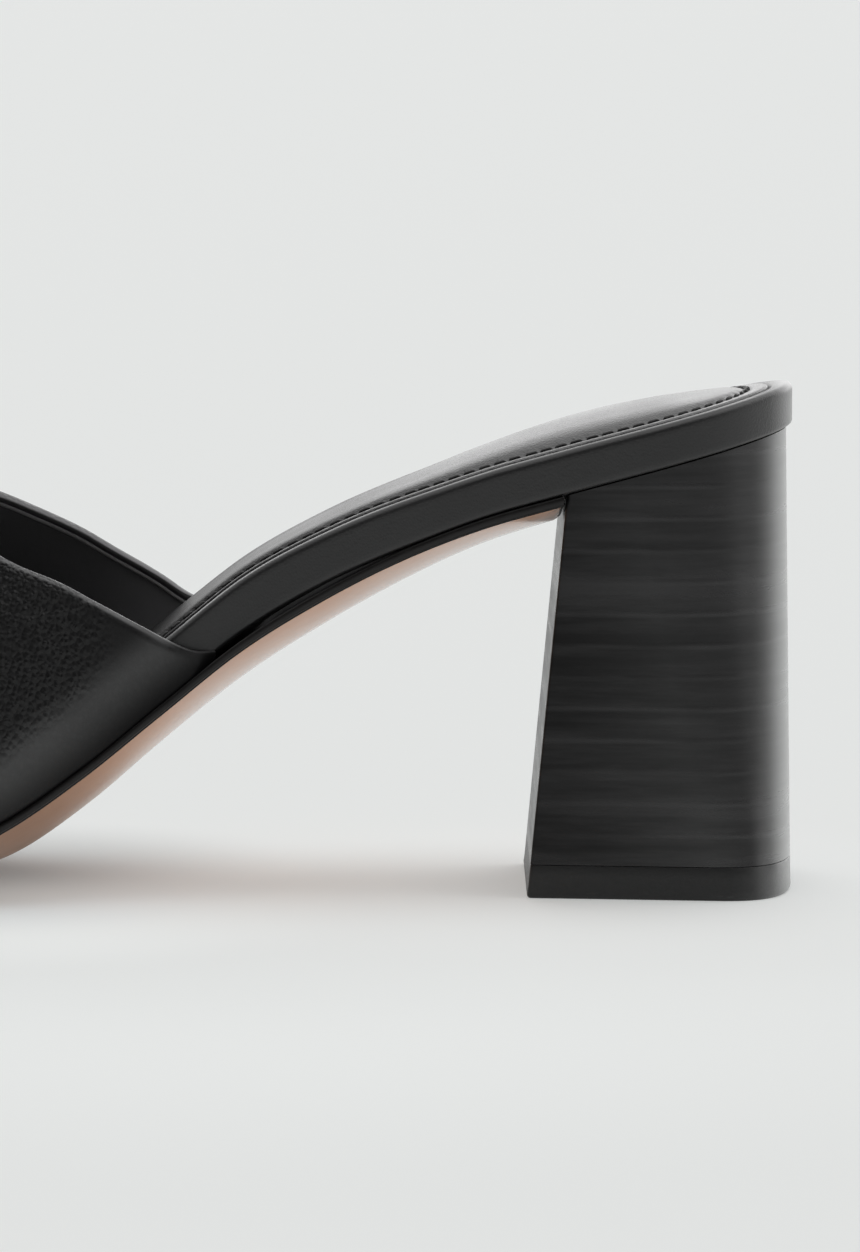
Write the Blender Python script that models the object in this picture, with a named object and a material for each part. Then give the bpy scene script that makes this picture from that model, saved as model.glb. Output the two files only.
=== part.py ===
"""A left, backless shoe (mule) on a high block heel, standing empty on its sole.

The toe points along -X, the heel along +X, the outer (lateral) side along -Y and up is +Z.
While the pieces are worked out, a place on the shoe is written as
  u, the distance along the floor from the back of the insole towards the toe,
  v, the distance across, negative on the outer side, and
  z, the height above the floor.
At the end the whole shoe is moved so that its origin is under the middle of its box, on the floor.
"""

import math

import bmesh
import bpy
from mathutils import Matrix, Vector

# Main sizes, in metres
LENGTH = 0.228           # insole, from its back to the toe, along the floor
HEEL_HEIGHT = 0.0765     # floor to the underside of the insole at its back
SEAT_WIDTH = 0.054       # insole across the heel seat
WAIST_WIDTH = 0.0466     # insole across its narrowest place
BALL_WIDTH = 0.0774      # sole across the ball of the foot
INSTEP_HEIGHT = 0.070    # floor to the upper's edge at the middle of the throat
TOE_HEIGHT = 0.0285      # floor to the top of the toe box
TOE_SPRING = 0.0072      # how far the sole's edge rises from the ball to the toe
TOE_TIP_SHIFT = 0.005    # how far the toe's tip lies to the inner side

# Thicknesses and small sizes
OUTSOLE = 0.0026         # outsole in the middle
OUTSOLE_EDGE = 0.0016    # outsole at its trimmed edge
BELLY = 0.0066           # how far the sole's underside bows down between its edges
TREAD_FLAT = 0.0004      # depth worn and pressed flat under the ball
BOARD_WALL = 0.007       # side wall of the wrapped insole at the heel
BOARD_WAIST = 0.0076     # the same under the arch of the foot
BOARD_FORE = 0.0032      # insole under the foot's ball and toes
BOARD_ROUND = 0.0013     # rounding of the insole's top edge
RIM_BAND = 0.0035        # leather rim of the insole around the sock
SOCK_SINK = 0.0011       # depth of the seat that the sock lies in
SOCK_SWELL = 0.0004      # sock above the rim
HEEL_PAD = 0.003         # crown of the pad under the heel
UPPER_WALL = 0.002       # upper with its lining
MARGIN_WALL = 0.0016     # edge of the upper, thinned, turned in under the insole
MARGIN_WIDTH = 0.009     # how far that edge reaches in from the sole's edge
UPPER_BULGE = 0.005      # how far the upper stands out past its lower edge at the ball
TOE_BULGE = 0.0024       # the same at the toe
TIP_BULGE = 0.0006       # the same at the wing tips
BULGE_HEIGHT = 0.010     # height at which the upper is widest
TIP_WALL = 0.0009        # upper at the wing tips
TIP_RISE = 0.0011        # height of the wing tips
FEATHER_INSET = 0.0008   # lower edge of the upper, in from the sole's edge
UPPER_SEAT_STEP = 0.0026  # how far the insole steps in where the upper goes round it
RIM_ROUND = 0.0006       # rounding of the upper's folded edge
BOARD_FOOT = 0.0006      # rounding of the insole's lower edge
SEAT_SLOPE = 0.0002      # slope of the side of the sock's seat
SOCK_ROUND = 0.0007      # rounding of the sock's edge
STITCH_INSET = 0.0035    # stitching, in from the sock's edge
TOE_SPINE_END = 0.030    # middle line of the soles ends this far from the toe's tip
TOE_FAN = 1.45           # how the upper's columns gather round the toe box

# Heel
HEEL_INSET = 0.001       # heel in from the insole's edge at the seat
BREAST_SEAT = 0.0378     # heel's front face, from the insole's back, at the seat
BREAST_FLOOR = 0.0442    # the same at the floor
HEEL_FLOOR_BACK = 0.0001 # heel's back at the floor, from the insole's back
HEEL_FLOOR_WIDTH = 0.053 # heel at the floor, at its widest
HEEL_FLOOR_FRONT = 0.0454  # heel at the floor, across its front face
HEEL_FLOOR_ROUND = 0.012 # length of the rounded back at the floor
TOP_LIFT = 0.0055        # wearing piece under the heel
HEEL_CORNER = 0.0008     # rounding of the heel's upright front edges
EDGE_ROUND = 0.0003      # breaking of the outsole's and the lift's edges

CLEARANCE = 0.0003       # space between pieces that touch

# Shares of LENGTH at which things begin or end
SLIT_START, SLIT_FULL = 0.25, 0.410      # the insole lifts off the sole to let the upper's edge in
STEP_START, STEP_FULL = 0.320, 0.402     # the insole steps in behind the wings
WAIST_START, WAIST_FULL = 0.22, 0.33    # the side wall of the insole thickens
THIN_START, THIN_FULL = 0.465, 0.555     # the insole thins out under the upper
TIP_LATERAL, TIP_MEDIAL = 0.4165, 0.408  # wing tips
BULGE_FULL = 0.61                        # the upper has its full bulge from here on
THROAT = 0.662                           # middle of the throat
CROWN_END = 0.957                        # where the toe box turns down
TOE_START = 0.737                        # widest place of the ball, where the toe's round begins

# How square each round is: 2 is an ellipse
TOE_SQUARENESS = 1.95
FLOOR_SQUARENESS = 2.7
INSTEP_SQUARENESS = 1.75
TOE_BOX_SQUARENESS = 2.15

# Sole outline: share of LENGTH, width that the row follows, outer and inner half as shares of it
OUTLINE = (
    (0.1184, SEAT_WIDTH, 0.500, 0.500),
    (0.171, SEAT_WIDTH, 0.485, 0.470),
    (0.250, WAIST_WIDTH, 0.546, 0.497),
    (0.340, WAIST_WIDTH, 0.540, 0.460),
    (0.400, WAIST_WIDTH, 0.573, 0.470),
    (0.456, BALL_WIDTH, 0.374, 0.312),
    (0.513, BALL_WIDTH, 0.414, 0.370),
    (0.570, BALL_WIDTH, 0.451, 0.428),
    (0.636, BALL_WIDTH, 0.482, 0.478),
    (TOE_START, BALL_WIDTH, 0.495, 0.505),
)

# Sole from the side: share of LENGTH, rise as a share of the heel's, spring as a share of
# TOE_SPRING, belly as a share of BELLY
PROFILE = (
    (0.000, 1.000, 0.00, 0.00),
    (0.061, 0.949, 0.00, 0.20),
    (0.118, 0.902, 0.00, 0.33),
    (0.171, 0.856, 0.00, 0.41),
    (0.228, 0.803, 0.00, 0.48),
    (0.285, 0.731, 0.00, 0.63),
    (0.342, 0.638, 0.00, 0.73),
    (0.399, 0.526, 0.00, 0.79),
    (0.456, 0.382, 0.00, 0.81),
    (0.513, 0.238, 0.00, 0.94),
    (0.566, 0.124, 0.00, 0.95),
    (0.614, 0.053, 0.00, 0.73),
    (0.658, 0.014, 0.00, 0.58),
    (0.724, 0.000, 0.00, 0.48),
    (0.790, 0.000, 0.08, 0.50),
    (0.877, 0.000, 0.36, 0.43),
    (0.947, 0.000, 0.71, 0.28),
    (1.000, 0.000, 1.00, 0.00),
)
BALL_BELLY = 0.48        # the belly's share at the row of the ball

# Edge of the upper: share of the way from wing tip to throat, rise at the outer and the inner
# side as shares of the throat's rise
TOPLINE = (
    (0.00, 0.000, 0.000),
    (0.05, 0.037, 0.063),
    (0.13, 0.126, 0.158),
    (0.20, 0.213, 0.256),
    (0.34, 0.388, 0.437),
    (0.45, 0.517, 0.575),
    (0.57, 0.633, 0.702),
    (0.64, 0.695, 0.763),
    (0.80, 0.845, 0.885),
    (1.00, 1.000, 1.000),
)

# Ridge of the upper: share of the way from throat to the end of the crown, height as a share of
# the way from the toe box up to the throat
RIDGE = (
    (0.00, 1.000),
    (0.13, 0.775),
    (0.27, 0.560),
    (0.42, 0.380),
    (0.58, 0.228),
    (0.74, 0.110),
    (0.88, 0.032),
    (1.00, 0.000),
)
RIDGE_BEHIND = 0.95      # slope of the same ridge behind the throat, where the upper is open

# Pad under the heel: share of LENGTH, share of HEEL_PAD
PAD = (
    (0.000, 0.00),
    (0.045, 0.20),
    (0.105, 0.80),
    (0.165, 1.00),
    (0.225, 0.72),
    (0.280, 0.42),
    (0.350, 0.28),
    (0.450, 0.29),
    (0.600, 0.12),
    (1.000, 0.05),
)

# How finely the pieces are divided
SIDE_SAMPLES = 38        # along each side of a sole
THROAT_COLUMNS = 20      # along each wing of the upper
TOE_COLUMNS = 18         # from the throat round to the toe's tip
UPPER_ROWS = 12          # from the sole up to the edge or ridge
BULGE_SHARE = 0.25       # share of those rows below the widest place
WALL_ROWS = 2            # rows over which the turned-in edge grows to the full wall
TIP_COLUMNS = 3          # columns over which the tip's wall does so
END_GATHER = 0.35        # how much closer together they are at its ends
DENSE = 240              # points of a side before it is divided evenly
HEEL_SIDE = 4            # divisions of each flat side of the heel
HEEL_ROUND = 18          # divisions of its rounded back
HEEL_FRONT = 6           # divisions of its front face
HEEL_LEVELS = 8          # divisions of its height
SPINE_SHARES = (0.34, 0.67)  # rings between a slab's spine and its rim
OUTSOLE_SHARES = (0.27, 0.52, 0.75, 0.9)  # the same for the bowed outsole
SHARPEST = 0.3           # limits how far an inset corner can run in
MERGE = 1e-6             # points nearer than this are one point

LATERAL, MEDIAL = -1, 1


def curve(rows, column, flat_ends=False):
    """A smooth function through one column of a table, against the table's first column."""
    xs = [row[0] for row in rows]
    ys = [row[column] for row in rows]
    slopes = [(ys[i + 1] - ys[i]) / (xs[i + 1] - xs[i]) for i in range(len(xs) - 1)]
    tangents = [slopes[0]]
    for i in range(1, len(xs) - 1):
        before, after = xs[i] - xs[i - 1], xs[i + 1] - xs[i]
        tangents.append((slopes[i - 1] * after + slopes[i] * before) / (before + after))
    tangents.append(slopes[-1])
    if flat_ends:
        tangents[0] = tangents[-1] = 0.0

    def value(x):
        x = min(max(x, xs[0]), xs[-1])
        i = max(k for k in range(len(xs) - 1) if xs[k] <= x)
        step = xs[i + 1] - xs[i]
        t = (x - xs[i]) / step
        start = (1 + 2 * t) * (1 - t) ** 2 * ys[i] + t * (1 - t) ** 2 * step * tangents[i]
        end = t * t * (3 - 2 * t) * ys[i + 1] + t * t * (t - 1) * step * tangents[i + 1]
        return start + end

    return value


def mix(a, b, share):
    return a + (b - a) * share


def ease(x, start, end):
    """0 before start, 1 after end and a smooth rise between them."""
    t = min(max((x - start) / (end - start), 0.0), 1.0)
    return t * t * (3 - 2 * t)


OUTLINE_METRES = [(along, width * outer, width * inner) for along, width, outer, inner in OUTLINE]
outer_half = curve(OUTLINE_METRES, 1, flat_ends=True)
inner_half = curve(OUTLINE_METRES, 2, flat_ends=True)
rise = curve(PROFILE, 1)
spring = curve(PROFILE, 2)
belly = curve(PROFILE, 3)
outer_edge = curve(TOPLINE, 1)
inner_edge = curve(TOPLINE, 2)
ridge_share = curve(RIDGE, 1)
pad_share = curve(PAD, 1)

SEAT_RADIUS = SEAT_WIDTH / 2
HEEL_CENTRE = 0.8 * SEAT_RADIUS
BALL_EDGE = OUTSOLE + BALL_BELLY * BELLY - TREAD_FLAT
SLIT = MARGIN_WALL + 2 * CLEARANCE


def half_width(u, side):
    """Half of the sole's width at u, on one side of v = 0."""
    if u < SEAT_RADIUS:
        return math.sqrt(max(SEAT_RADIUS ** 2 - (SEAT_RADIUS - u) ** 2, 0.0))
    half = outer_half if side == LATERAL else inner_half
    if u <= TOE_START * LENGTH:
        return half(u / LENGTH)
    toe = min((u / LENGTH - TOE_START) / (1 - TOE_START), 1.0)
    shrink = (1 - toe ** TOE_SQUARENESS) ** (1 / TOE_SQUARENESS)
    tip = side * TOE_TIP_SHIFT
    return tip + (half(TOE_START) - tip) * shrink


def across(u, v):
    """How far v is out from the sole's middle line, as a share of the half-width there."""
    side = LATERAL if v < middle(u) else MEDIAL
    reach = abs(side * half_width(u, side) - middle(u))
    return min(abs(v - middle(u)) / max(reach, 1e-4), 1.0)


def middle(u):
    return (half_width(u, MEDIAL) - half_width(u, LATERAL)) / 2


def edge_height(u):
    """Top of the outsole at its edge."""
    share = u / LENGTH
    return BALL_EDGE + rise(share) * (HEEL_HEIGHT - BALL_EDGE) + spring(share) * TOE_SPRING


def sole_top(u, v):
    """Top of the outsole, which the insole and the heel follow."""
    return edge_height(u) - BELLY * belly(u / LENGTH) * (1 - across(u, v) ** 2)


def sole_under(u, v):
    """Underside of the outsole, flat where the ball presses on the floor."""
    thickness = mix(OUTSOLE, OUTSOLE_EDGE, across(u, v) ** 2)
    return max(sole_top(u, v) - thickness, 0.0)


def slit(u):
    """Space between outsole and insole at their edges, which the upper's edge fills."""
    return mix(CLEARANCE, SLIT, ease(u / LENGTH, SLIT_START, SLIT_FULL))


def board_inset(u):
    """How far the insole stands in from the outsole's edge."""
    return UPPER_SEAT_STEP * ease(u / LENGTH, STEP_START, STEP_FULL)


def board_top(u):
    wall = mix(BOARD_WALL, BOARD_WAIST, ease(u / LENGTH, WAIST_START, WAIST_FULL))
    thin = mix(wall, BOARD_FORE, ease(u / LENGTH, THIN_START, THIN_FULL))
    return edge_height(u) + slit(u) + thin


def breast(z):
    """Place u of the heel's front face at a height."""
    return mix(BREAST_FLOOR, BREAST_SEAT, z / edge_height(BREAST_SEAT))


def dense_side(side):
    """Many points along one side of the sole, from the back round to the toe's tip."""
    points = []
    for i in range(DENSE + 1):
        turn = math.pi / 2 * i / DENSE
        points.append(SEAT_RADIUS * (1 - math.cos(turn)))
    straight = TOE_START * LENGTH - SEAT_RADIUS
    points += [SEAT_RADIUS + straight * i / DENSE for i in range(1, DENSE)]
    toe_run = (1 - TOE_START) * LENGTH
    for i in range(DENSE + 1):
        turn = math.pi / 2 * i / DENSE
        points.append(TOE_START * LENGTH + toe_run * math.sin(turn) ** (2 / TOE_SQUARENESS))
    return [Vector((u, side * half_width(u, side))) for u in points]


def lengths_along(points):
    total = [0.0]
    for a, b in zip(points, points[1:]):
        total.append(total[-1] + (b - a).length)
    return total


def at_length(points, lengths, wanted):
    """The point at a distance along a line of points."""
    for i in range(1, len(points)):
        if lengths[i] >= wanted:
            step = lengths[i] - lengths[i - 1]
            return points[i - 1].lerp(points[i], (wanted - lengths[i - 1]) / max(step, 1e-9))
    return points[-1].copy()


def length_at(points, lengths, u):
    """The distance along a side at which it reaches u."""
    for i in range(1, len(points)):
        if points[i].x >= u:
            step = points[i].x - points[i - 1].x
            return mix(lengths[i - 1], lengths[i], (u - points[i - 1].x) / max(step, 1e-9))
    return lengths[-1]


SIDES = {side: dense_side(side) for side in (LATERAL, MEDIAL)}
SIDE_LENGTHS = {side: lengths_along(SIDES[side]) for side in SIDES}


def side_samples(side, start_u, count):
    """Points along one side from start_u to the toe's tip, closer together at both ends."""
    points, lengths = SIDES[side], SIDE_LENGTHS[side]
    start = length_at(points, lengths, start_u)
    samples = []
    for i in range(count + 1):
        share = i / count
        share = mix(share, (1 - math.cos(math.pi * share)) / 2, END_GATHER)
        samples.append(at_length(points, lengths, mix(start, lengths[-1], share)))
    return samples


def offset_loop(loop, distances):
    """Moves a closed line of points inwards, each by its own distance."""
    moved = []
    for i, point in enumerate(loop):
        before = (point - loop[i - 1]).normalized()
        after = (loop[(i + 1) % len(loop)] - point).normalized()
        in_before = Vector((-before.y, before.x))
        in_after = Vector((-after.y, after.x))
        bisector = (in_before + in_after).normalized()
        moved.append(point + bisector * distances[i] / max(bisector.dot(in_before), SHARPEST))
    return moved


def sole_loop(start_u=0.0, front=()):
    """A sole's edge as a closed line, outer side first, and the spine point behind each point.

    A sole that is cut straight at start_u is closed with the points of front.
    """
    outer = side_samples(LATERAL, start_u, SIDE_SAMPLES)
    inner = side_samples(MEDIAL, start_u, SIDE_SAMPLES)
    first, last = start_u + SEAT_RADIUS, LENGTH - TOE_SPINE_END
    spine = []
    for a, b in zip(outer, inner):
        u = min(max((a.x + b.x) / 2, first), last)
        spine.append(Vector((u, middle(u))))
    if start_u == 0.0:
        return outer + inner[-2:0:-1], spine + spine[-2:0:-1]
    return outer + inner[-2::-1] + list(front), spine + spine[-2::-1] + [spine[0]] * len(front)


def inset_loop(loop, inset):
    """A loop moved in from the insole's edge by inset."""
    return offset_loop(loop, [board_inset(p.x) + inset for p in loop])


def ring(loop, height):
    """Points of a loop at the height that a function of u and v gives."""
    return [(p.x, p.y, height(p.x, p.y)) for p in loop]


def inner_rings(loop, spine, height, shares=SPINE_SHARES):
    """Rings from the spine out towards a loop, which close a slab's top or underside."""
    rings = []
    for share in (0.0,) + shares:
        rings.append(ring([s.lerp(p, share) for s, p in zip(spine, loop)], height))
    return rings


def new_material(name, colour, roughness):
    material = bpy.data.materials.new(name)
    material.use_nodes = True
    shader = material.node_tree.nodes["Principled BSDF"]
    shader.inputs["Base Color"].default_value = (*colour, 1.0)
    shader.inputs["Roughness"].default_value = roughness
    shader.inputs["Metallic"].default_value = 0.0
    material.diffuse_color = (*colour, 1.0)
    return material


def finish_object(name, shape, material, sharp_degrees=38):
    """Makes an object of a bmesh: merged, faces outward and smooth except at real edges."""
    bmesh.ops.remove_doubles(shape, verts=shape.verts, dist=MERGE)
    bmesh.ops.recalc_face_normals(shape, faces=shape.faces)
    mesh = bpy.data.meshes.new(name)
    shape.to_mesh(mesh)
    shape.free()
    mesh.materials.append(material)
    mesh.shade_smooth()
    mesh.set_sharp_from_angle(angle=math.radians(sharp_degrees))
    made = bpy.data.objects.new(name, mesh)
    bpy.context.collection.objects.link(made)
    return made


def new_vertex(shape, point):
    """A vertex at (u, v, z): the toe lies along -X."""
    return shape.verts.new((-point[0], point[1], point[2]))


def loft(rings):
    """A closed skin over rings of equally many points; the first and last ring lie on a spine."""
    shape = bmesh.new()
    skin = [[new_vertex(shape, point) for point in points] for points in rings]
    count = len(rings[0])
    for lower, upper in zip(skin, skin[1:]):
        for i in range(count):
            k = (i + 1) % count
            shape.faces.new((lower[i], lower[k], upper[k], upper[i]))
    return shape


def make_outsole():
    """The thin sole from the heel's front face to the toe, bowed down between its edges."""
    start = BREAST_SEAT + CLEARANCE
    front = [Vector((start, mix(half_width(start, MEDIAL), -half_width(start, LATERAL), i / HEEL_FRONT)))
             for i in range(1, HEEL_FRONT)]
    loop, spine = sole_loop(start, front)
    broken = offset_loop(loop, [EDGE_ROUND] * len(loop))
    shares = OUTSOLE_SHARES
    rings = inner_rings(loop, spine, sole_under, shares)
    rings.append(ring(broken, sole_under))
    rings.append(ring(loop, lambda u, v: sole_under(u, v) + EDGE_ROUND))
    rings.append(ring(loop, lambda u, v: sole_top(u, v) - EDGE_ROUND))
    rings.append(ring(broken, sole_top))
    rings += inner_rings(loop, spine, sole_top, shares)[::-1]
    at_breast = {i for i, p in enumerate(loop) if p.x < start + MERGE}
    edge = range(len(shares) + 1, len(shares) + 5)
    for k in edge:
        for i in at_breast:
            u, v, z = rings[k][i]
            rings[k][i] = (u - start + breast(z) + CLEARANCE, v, z)
    return finish_object("outsole", loft(rings), new_material("sole_leather", (0.42, 0.27, 0.17), 0.4))


def make_board():
    """The wrapped insole: a thick side wall, a rim and a seat sunk in for the sock."""
    loop, spine = sole_loop()
    edge = inset_loop(loop, 0.0)
    rebate = MARGIN_WIDTH + CLEARANCE

    def from_sole_edge(distance):
        return offset_loop(loop, [max(distance, board_inset(p.x) + BOARD_ROUND) for p in loop])

    def over_sole(u, v):
        return sole_top(u, v) + CLEARANCE

    def over_margin(u, v):
        return sole_top(u, v) + slit(u)

    def below_top(depth):
        return lambda u, v: board_top(u) - depth

    rings = inner_rings(loop, spine, over_sole, (0.4,))
    rings.append(ring(from_sole_edge(rebate + CLEARANCE), over_sole))
    rings.append(ring(from_sole_edge(rebate), over_margin))
    rings.append(ring(inset_loop(loop, BOARD_FOOT), over_margin))
    rings.append(ring(edge, lambda u, v: over_margin(u, v) + BOARD_FOOT))
    rings.append(ring(edge, below_top(BOARD_ROUND)))
    rings.append(ring(inset_loop(loop, 0.3 * BOARD_ROUND), below_top(0.3 * BOARD_ROUND)))
    rings.append(ring(inset_loop(loop, BOARD_ROUND), below_top(0.0)))
    rings.append(ring(inset_loop(loop, RIM_BAND), below_top(0.0)))
    rings.append(ring(inset_loop(loop, RIM_BAND + SEAT_SLOPE), below_top(SOCK_SINK)))
    rings += inner_rings(edge, spine, below_top(SOCK_SINK), (0.45,))[::-1]
    return finish_object("insole_board", loft(rings), new_material("insole_leather", (0.03, 0.03, 0.03), 0.42))


def sock_top(u, v):
    """Top of the padded sock away from its edge."""
    crown = HEEL_PAD * pad_share(u / LENGTH) * (1 - across(u, v) ** 2)
    return board_top(u) + SOCK_SWELL + crown


def make_sock():
    """The padded cover in the insole's seat, crowned under the heel."""
    loop, spine = sole_loop()
    edge_inset = RIM_BAND + SEAT_SLOPE + CLEARANCE
    edge = inset_loop(loop, edge_inset)
    floor = SOCK_SINK - CLEARANCE

    def below_top(depth):
        return lambda u, v: board_top(u) - depth

    rings = inner_rings(edge, spine, below_top(floor), (0.5,))
    rings.append(ring(edge, below_top(floor)))
    rings.append(ring(edge, below_top(0.4 * floor)))
    rings.append(ring(inset_loop(loop, edge_inset + SOCK_ROUND), below_top(-0.6 * SOCK_SWELL)))
    rings.append(ring(inset_loop(loop, edge_inset + STITCH_INSET), sock_top))
    rings += inner_rings(edge, spine, sock_top, (0.25, 0.5, 0.72))[::-1]
    return finish_object("sock", loft(rings), new_material("sock_leather", (0.05, 0.05, 0.052), 0.45))


def heel_loop(level):
    """The heel's outline, a D with its flat face to the toe, from 0 at the floor to 1 at the seat."""
    seat_half = SEAT_RADIUS - HEEL_INSET
    back = mix(HEEL_FLOOR_BACK, HEEL_INSET, level)
    front = mix(BREAST_FLOOR, BREAST_SEAT, level)
    widest = mix(HEEL_FLOOR_WIDTH / 2, seat_half, level)
    run = mix(HEEL_FLOOR_ROUND, seat_half, level)
    power = mix(FLOOR_SQUARENESS, 2.0, level)
    points = []
    for side in (LATERAL, MEDIAL):
        seat_front = half_width(BREAST_SEAT, side) - HEEL_INSET
        corner = mix(HEEL_FLOOR_FRONT / 2, seat_front, level)
        flat = [Vector((mix(back + run, front - HEEL_CORNER, i / HEEL_SIDE),
                        side * mix(widest, corner, i / HEEL_SIDE))) for i in range(HEEL_SIDE + 1)]
        half_turn = HEEL_CORNER * (1 - math.sqrt(0.5))
        flat.append(Vector((front - half_turn, side * (corner - half_turn))))
        face = [Vector((front, side * mix(corner - HEEL_CORNER, 0.0, i / (HEEL_FRONT / 2))))
                for i in range(HEEL_FRONT // 2)]
        half = flat + face
        points += half + [Vector((front, 0.0))] if side == LATERAL else half[::-1]
    for i in range(1, HEEL_ROUND):
        turn = math.pi * i / HEEL_ROUND
        depth = 1 - abs(math.sin(turn)) ** (2 / power)
        sideways = math.copysign(abs(math.cos(turn)) ** (2 / power), math.cos(turn))
        points.append(Vector((back + run * depth, widest * sideways)))
    return points


def make_heel():
    """The block heel between the top lift and the insole."""
    seat = edge_height(BREAST_SEAT)
    foot = TOP_LIFT + CLEARANCE
    bottom = heel_loop(foot / seat)
    top = heel_loop(1.0)
    centre = [Vector((HEEL_CENTRE, 0.0))] * len(top)
    rings = inner_rings(bottom, centre, lambda u, v: foot, ())
    for k in range(HEEL_LEVELS + 1):
        share = k / HEEL_LEVELS
        level = []
        for low, high in zip(bottom, top):
            place = low.lerp(high, share)
            level.append((place.x, place.y, mix(foot, sole_top(high.x, high.y), share)))
        rings.append(level)
    rings += inner_rings(top, centre, sole_top)[::-1]
    return finish_object("heel_block", loft(rings), new_material("heel_lacquer", (0.045, 0.045, 0.047), 0.35))


def make_top_lift():
    """The wearing piece that the heel stands on."""
    seat = edge_height(BREAST_SEAT)
    rims = ((EDGE_ROUND, 0.0), (0.0, EDGE_ROUND), (0.0, TOP_LIFT - EDGE_ROUND), (EDGE_ROUND, TOP_LIFT))
    centre = [Vector((HEEL_CENTRE, 0.0))] * len(heel_loop(0.0))
    rings = []
    for inset, z in rims:
        loop = heel_loop(z / seat)
        loop = offset_loop(loop, [inset] * len(loop))
        rings.append(ring(loop, lambda u, v: z))
    rings.insert(0, ring(centre, lambda u, v: 0.0))
    rings.append(ring(centre, lambda u, v: TOP_LIFT))
    return finish_object("top_lift", loft(rings), new_material("lift_rubber", (0.035, 0.035, 0.035), 0.55))


def ridge(u):
    """Place across and height of the upper's ridge, also where the throat leaves it open."""
    throat, end = THROAT * LENGTH, CROWN_END * LENGTH
    sideways = middle(u) if u < end else middle(end)
    if u < throat:
        return sideways, INSTEP_HEIGHT + RIDGE_BEHIND * (throat - u)
    share = (u - throat) / (end - throat)
    return sideways, mix(TOE_HEIGHT, INSTEP_HEIGHT, ridge_share(share))


def arch_form(foot, crown, along):
    """How far an arch bulges, how square it is, its height and that of its widest place."""
    bulge = mix(TIP_BULGE, UPPER_BULGE, ease(along, TIP_MEDIAL, BULGE_FULL))
    bulge = mix(bulge, TOE_BULGE, ease(along, THROAT, 1.0))
    power = mix(INSTEP_SQUARENESS, TOE_BOX_SQUARENESS, ease(along, THROAT, 1.0))
    full = crown.z - foot.z
    return bulge, power, full, min(BULGE_HEIGHT, full / 2)


def arch(foot, crown, along, share):
    """A point of the upper's outer surface, from 0 at its foot on the sole to 1 at its crown."""
    bulge, power, full, lower = arch_form(foot, crown, along)
    outward = Vector((foot.x - crown.x, foot.y - crown.y))
    reach = outward.length
    outward.normalize()
    if share <= BULGE_SHARE:
        turn = math.pi / 2 * (share / BULGE_SHARE - 1)
        radius = reach + bulge * math.cos(turn)
        z = foot.z + lower * (1 + math.sin(turn))
    else:
        turn = math.pi / 2 * (share - BULGE_SHARE) / (1 - BULGE_SHARE)
        radius = (reach + bulge) * max(math.cos(turn), 0.0) ** (2 / power)
        z = foot.z + lower + (full - lower) * math.sin(turn) ** (2 / power)
    return Vector((crown.x + outward.x * radius, crown.y + outward.y * radius, z))


def share_at_height(foot, crown, along, height):
    """The share of an arch that reaches a height above its foot."""
    _, power, full, lower = arch_form(foot, crown, along)
    if height <= lower:
        return BULGE_SHARE * (1 + math.asin(height / lower - 1) / (math.pi / 2))
    turn = math.asin(((height - lower) / (full - lower)) ** (power / 2))
    return mix(BULGE_SHARE, 1.0, turn / (math.pi / 2))


def foot_point(side, u_or_share, past_throat):
    """Lower edge of the upper and the inner end of its turned-in edge, over the sole."""
    points, lengths = SIDES[side], SIDE_LENGTHS[side]
    if past_throat:
        throat = length_at(points, lengths, THROAT * LENGTH)
        distance = mix(throat, lengths[-1], u_or_share)
    else:
        distance = length_at(points, lengths, u_or_share)
    step = LENGTH / DENSE
    here = at_length(points, lengths, distance)
    tangent = at_length(points, lengths, distance + step) - at_length(points, lengths, distance - step)
    if past_throat and u_or_share == 1.0:
        tangent = Vector((0.0, -side))
    inward = Vector((-tangent.y, tangent.x)).normalized() * -side
    low = here + inward * FEATHER_INSET
    end = here + inward * MARGIN_WIDTH
    foot = Vector((low.x, low.y, sole_top(low.x, low.y) + CLEARANCE))
    margin = Vector((end.x, end.y, sole_top(end.x, end.y) + CLEARANCE))
    return foot, margin


def wing_arch(side, u):
    """Foot and crown of the whole arch that stands at u, which the open throat cuts short."""
    foot, _ = foot_point(side, u, False)
    sideways, height = ridge(u)
    return foot, Vector((foot.x, sideways, height))


def wing_column(side, way):
    """Outer points from the sole to the edge of a wing, and the end of its turned-in edge."""
    tip = (TIP_LATERAL if side == LATERAL else TIP_MEDIAL) * LENGTH
    throat = THROAT * LENGTH
    edge = outer_edge if side == LATERAL else inner_edge
    foot_u = mix(tip, throat, way)
    edge_way = way + way ** 2 - way ** 3
    edge_u = mix(tip, throat, edge_way)
    top = 1.0
    if way < 1.0:
        height = mix(TIP_RISE, INSTEP_HEIGHT - edge_height(throat), edge(edge_way))
        top = share_at_height(*wing_arch(side, edge_u), edge_u / LENGTH, height)
    points = []
    for j in range(UPPER_ROWS + 1):
        share = j / UPPER_ROWS
        u = mix(foot_u, edge_u, share)
        points.append(arch(*wing_arch(side, u), u / LENGTH, top * share))
    return points, foot_point(side, foot_u, False)[1]


def toe_column(side, way):
    """Outer points from the sole to the ridge past the throat, and the turned-in edge's end."""
    throat, end = THROAT * LENGTH, CROWN_END * LENGTH
    foot, margin = foot_point(side, way, True)
    u = throat + (end - throat) * (1 - (1 - way) ** TOE_FAN)
    sideways, height = ridge(u)
    crown = Vector((u, sideways, height))
    return [arch(foot, crown, u / LENGTH, j / UPPER_ROWS) for j in range(UPPER_ROWS + 1)], margin


def upper_columns(side):
    """Columns of one side from the wing's tip to the toe."""
    wing = [wing_column(side, i / THROAT_COLUMNS) for i in range(THROAT_COLUMNS + 1)]
    return wing + [toe_column(side, i / TOE_COLUMNS) for i in range(1, TOE_COLUMNS + 1)]


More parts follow.
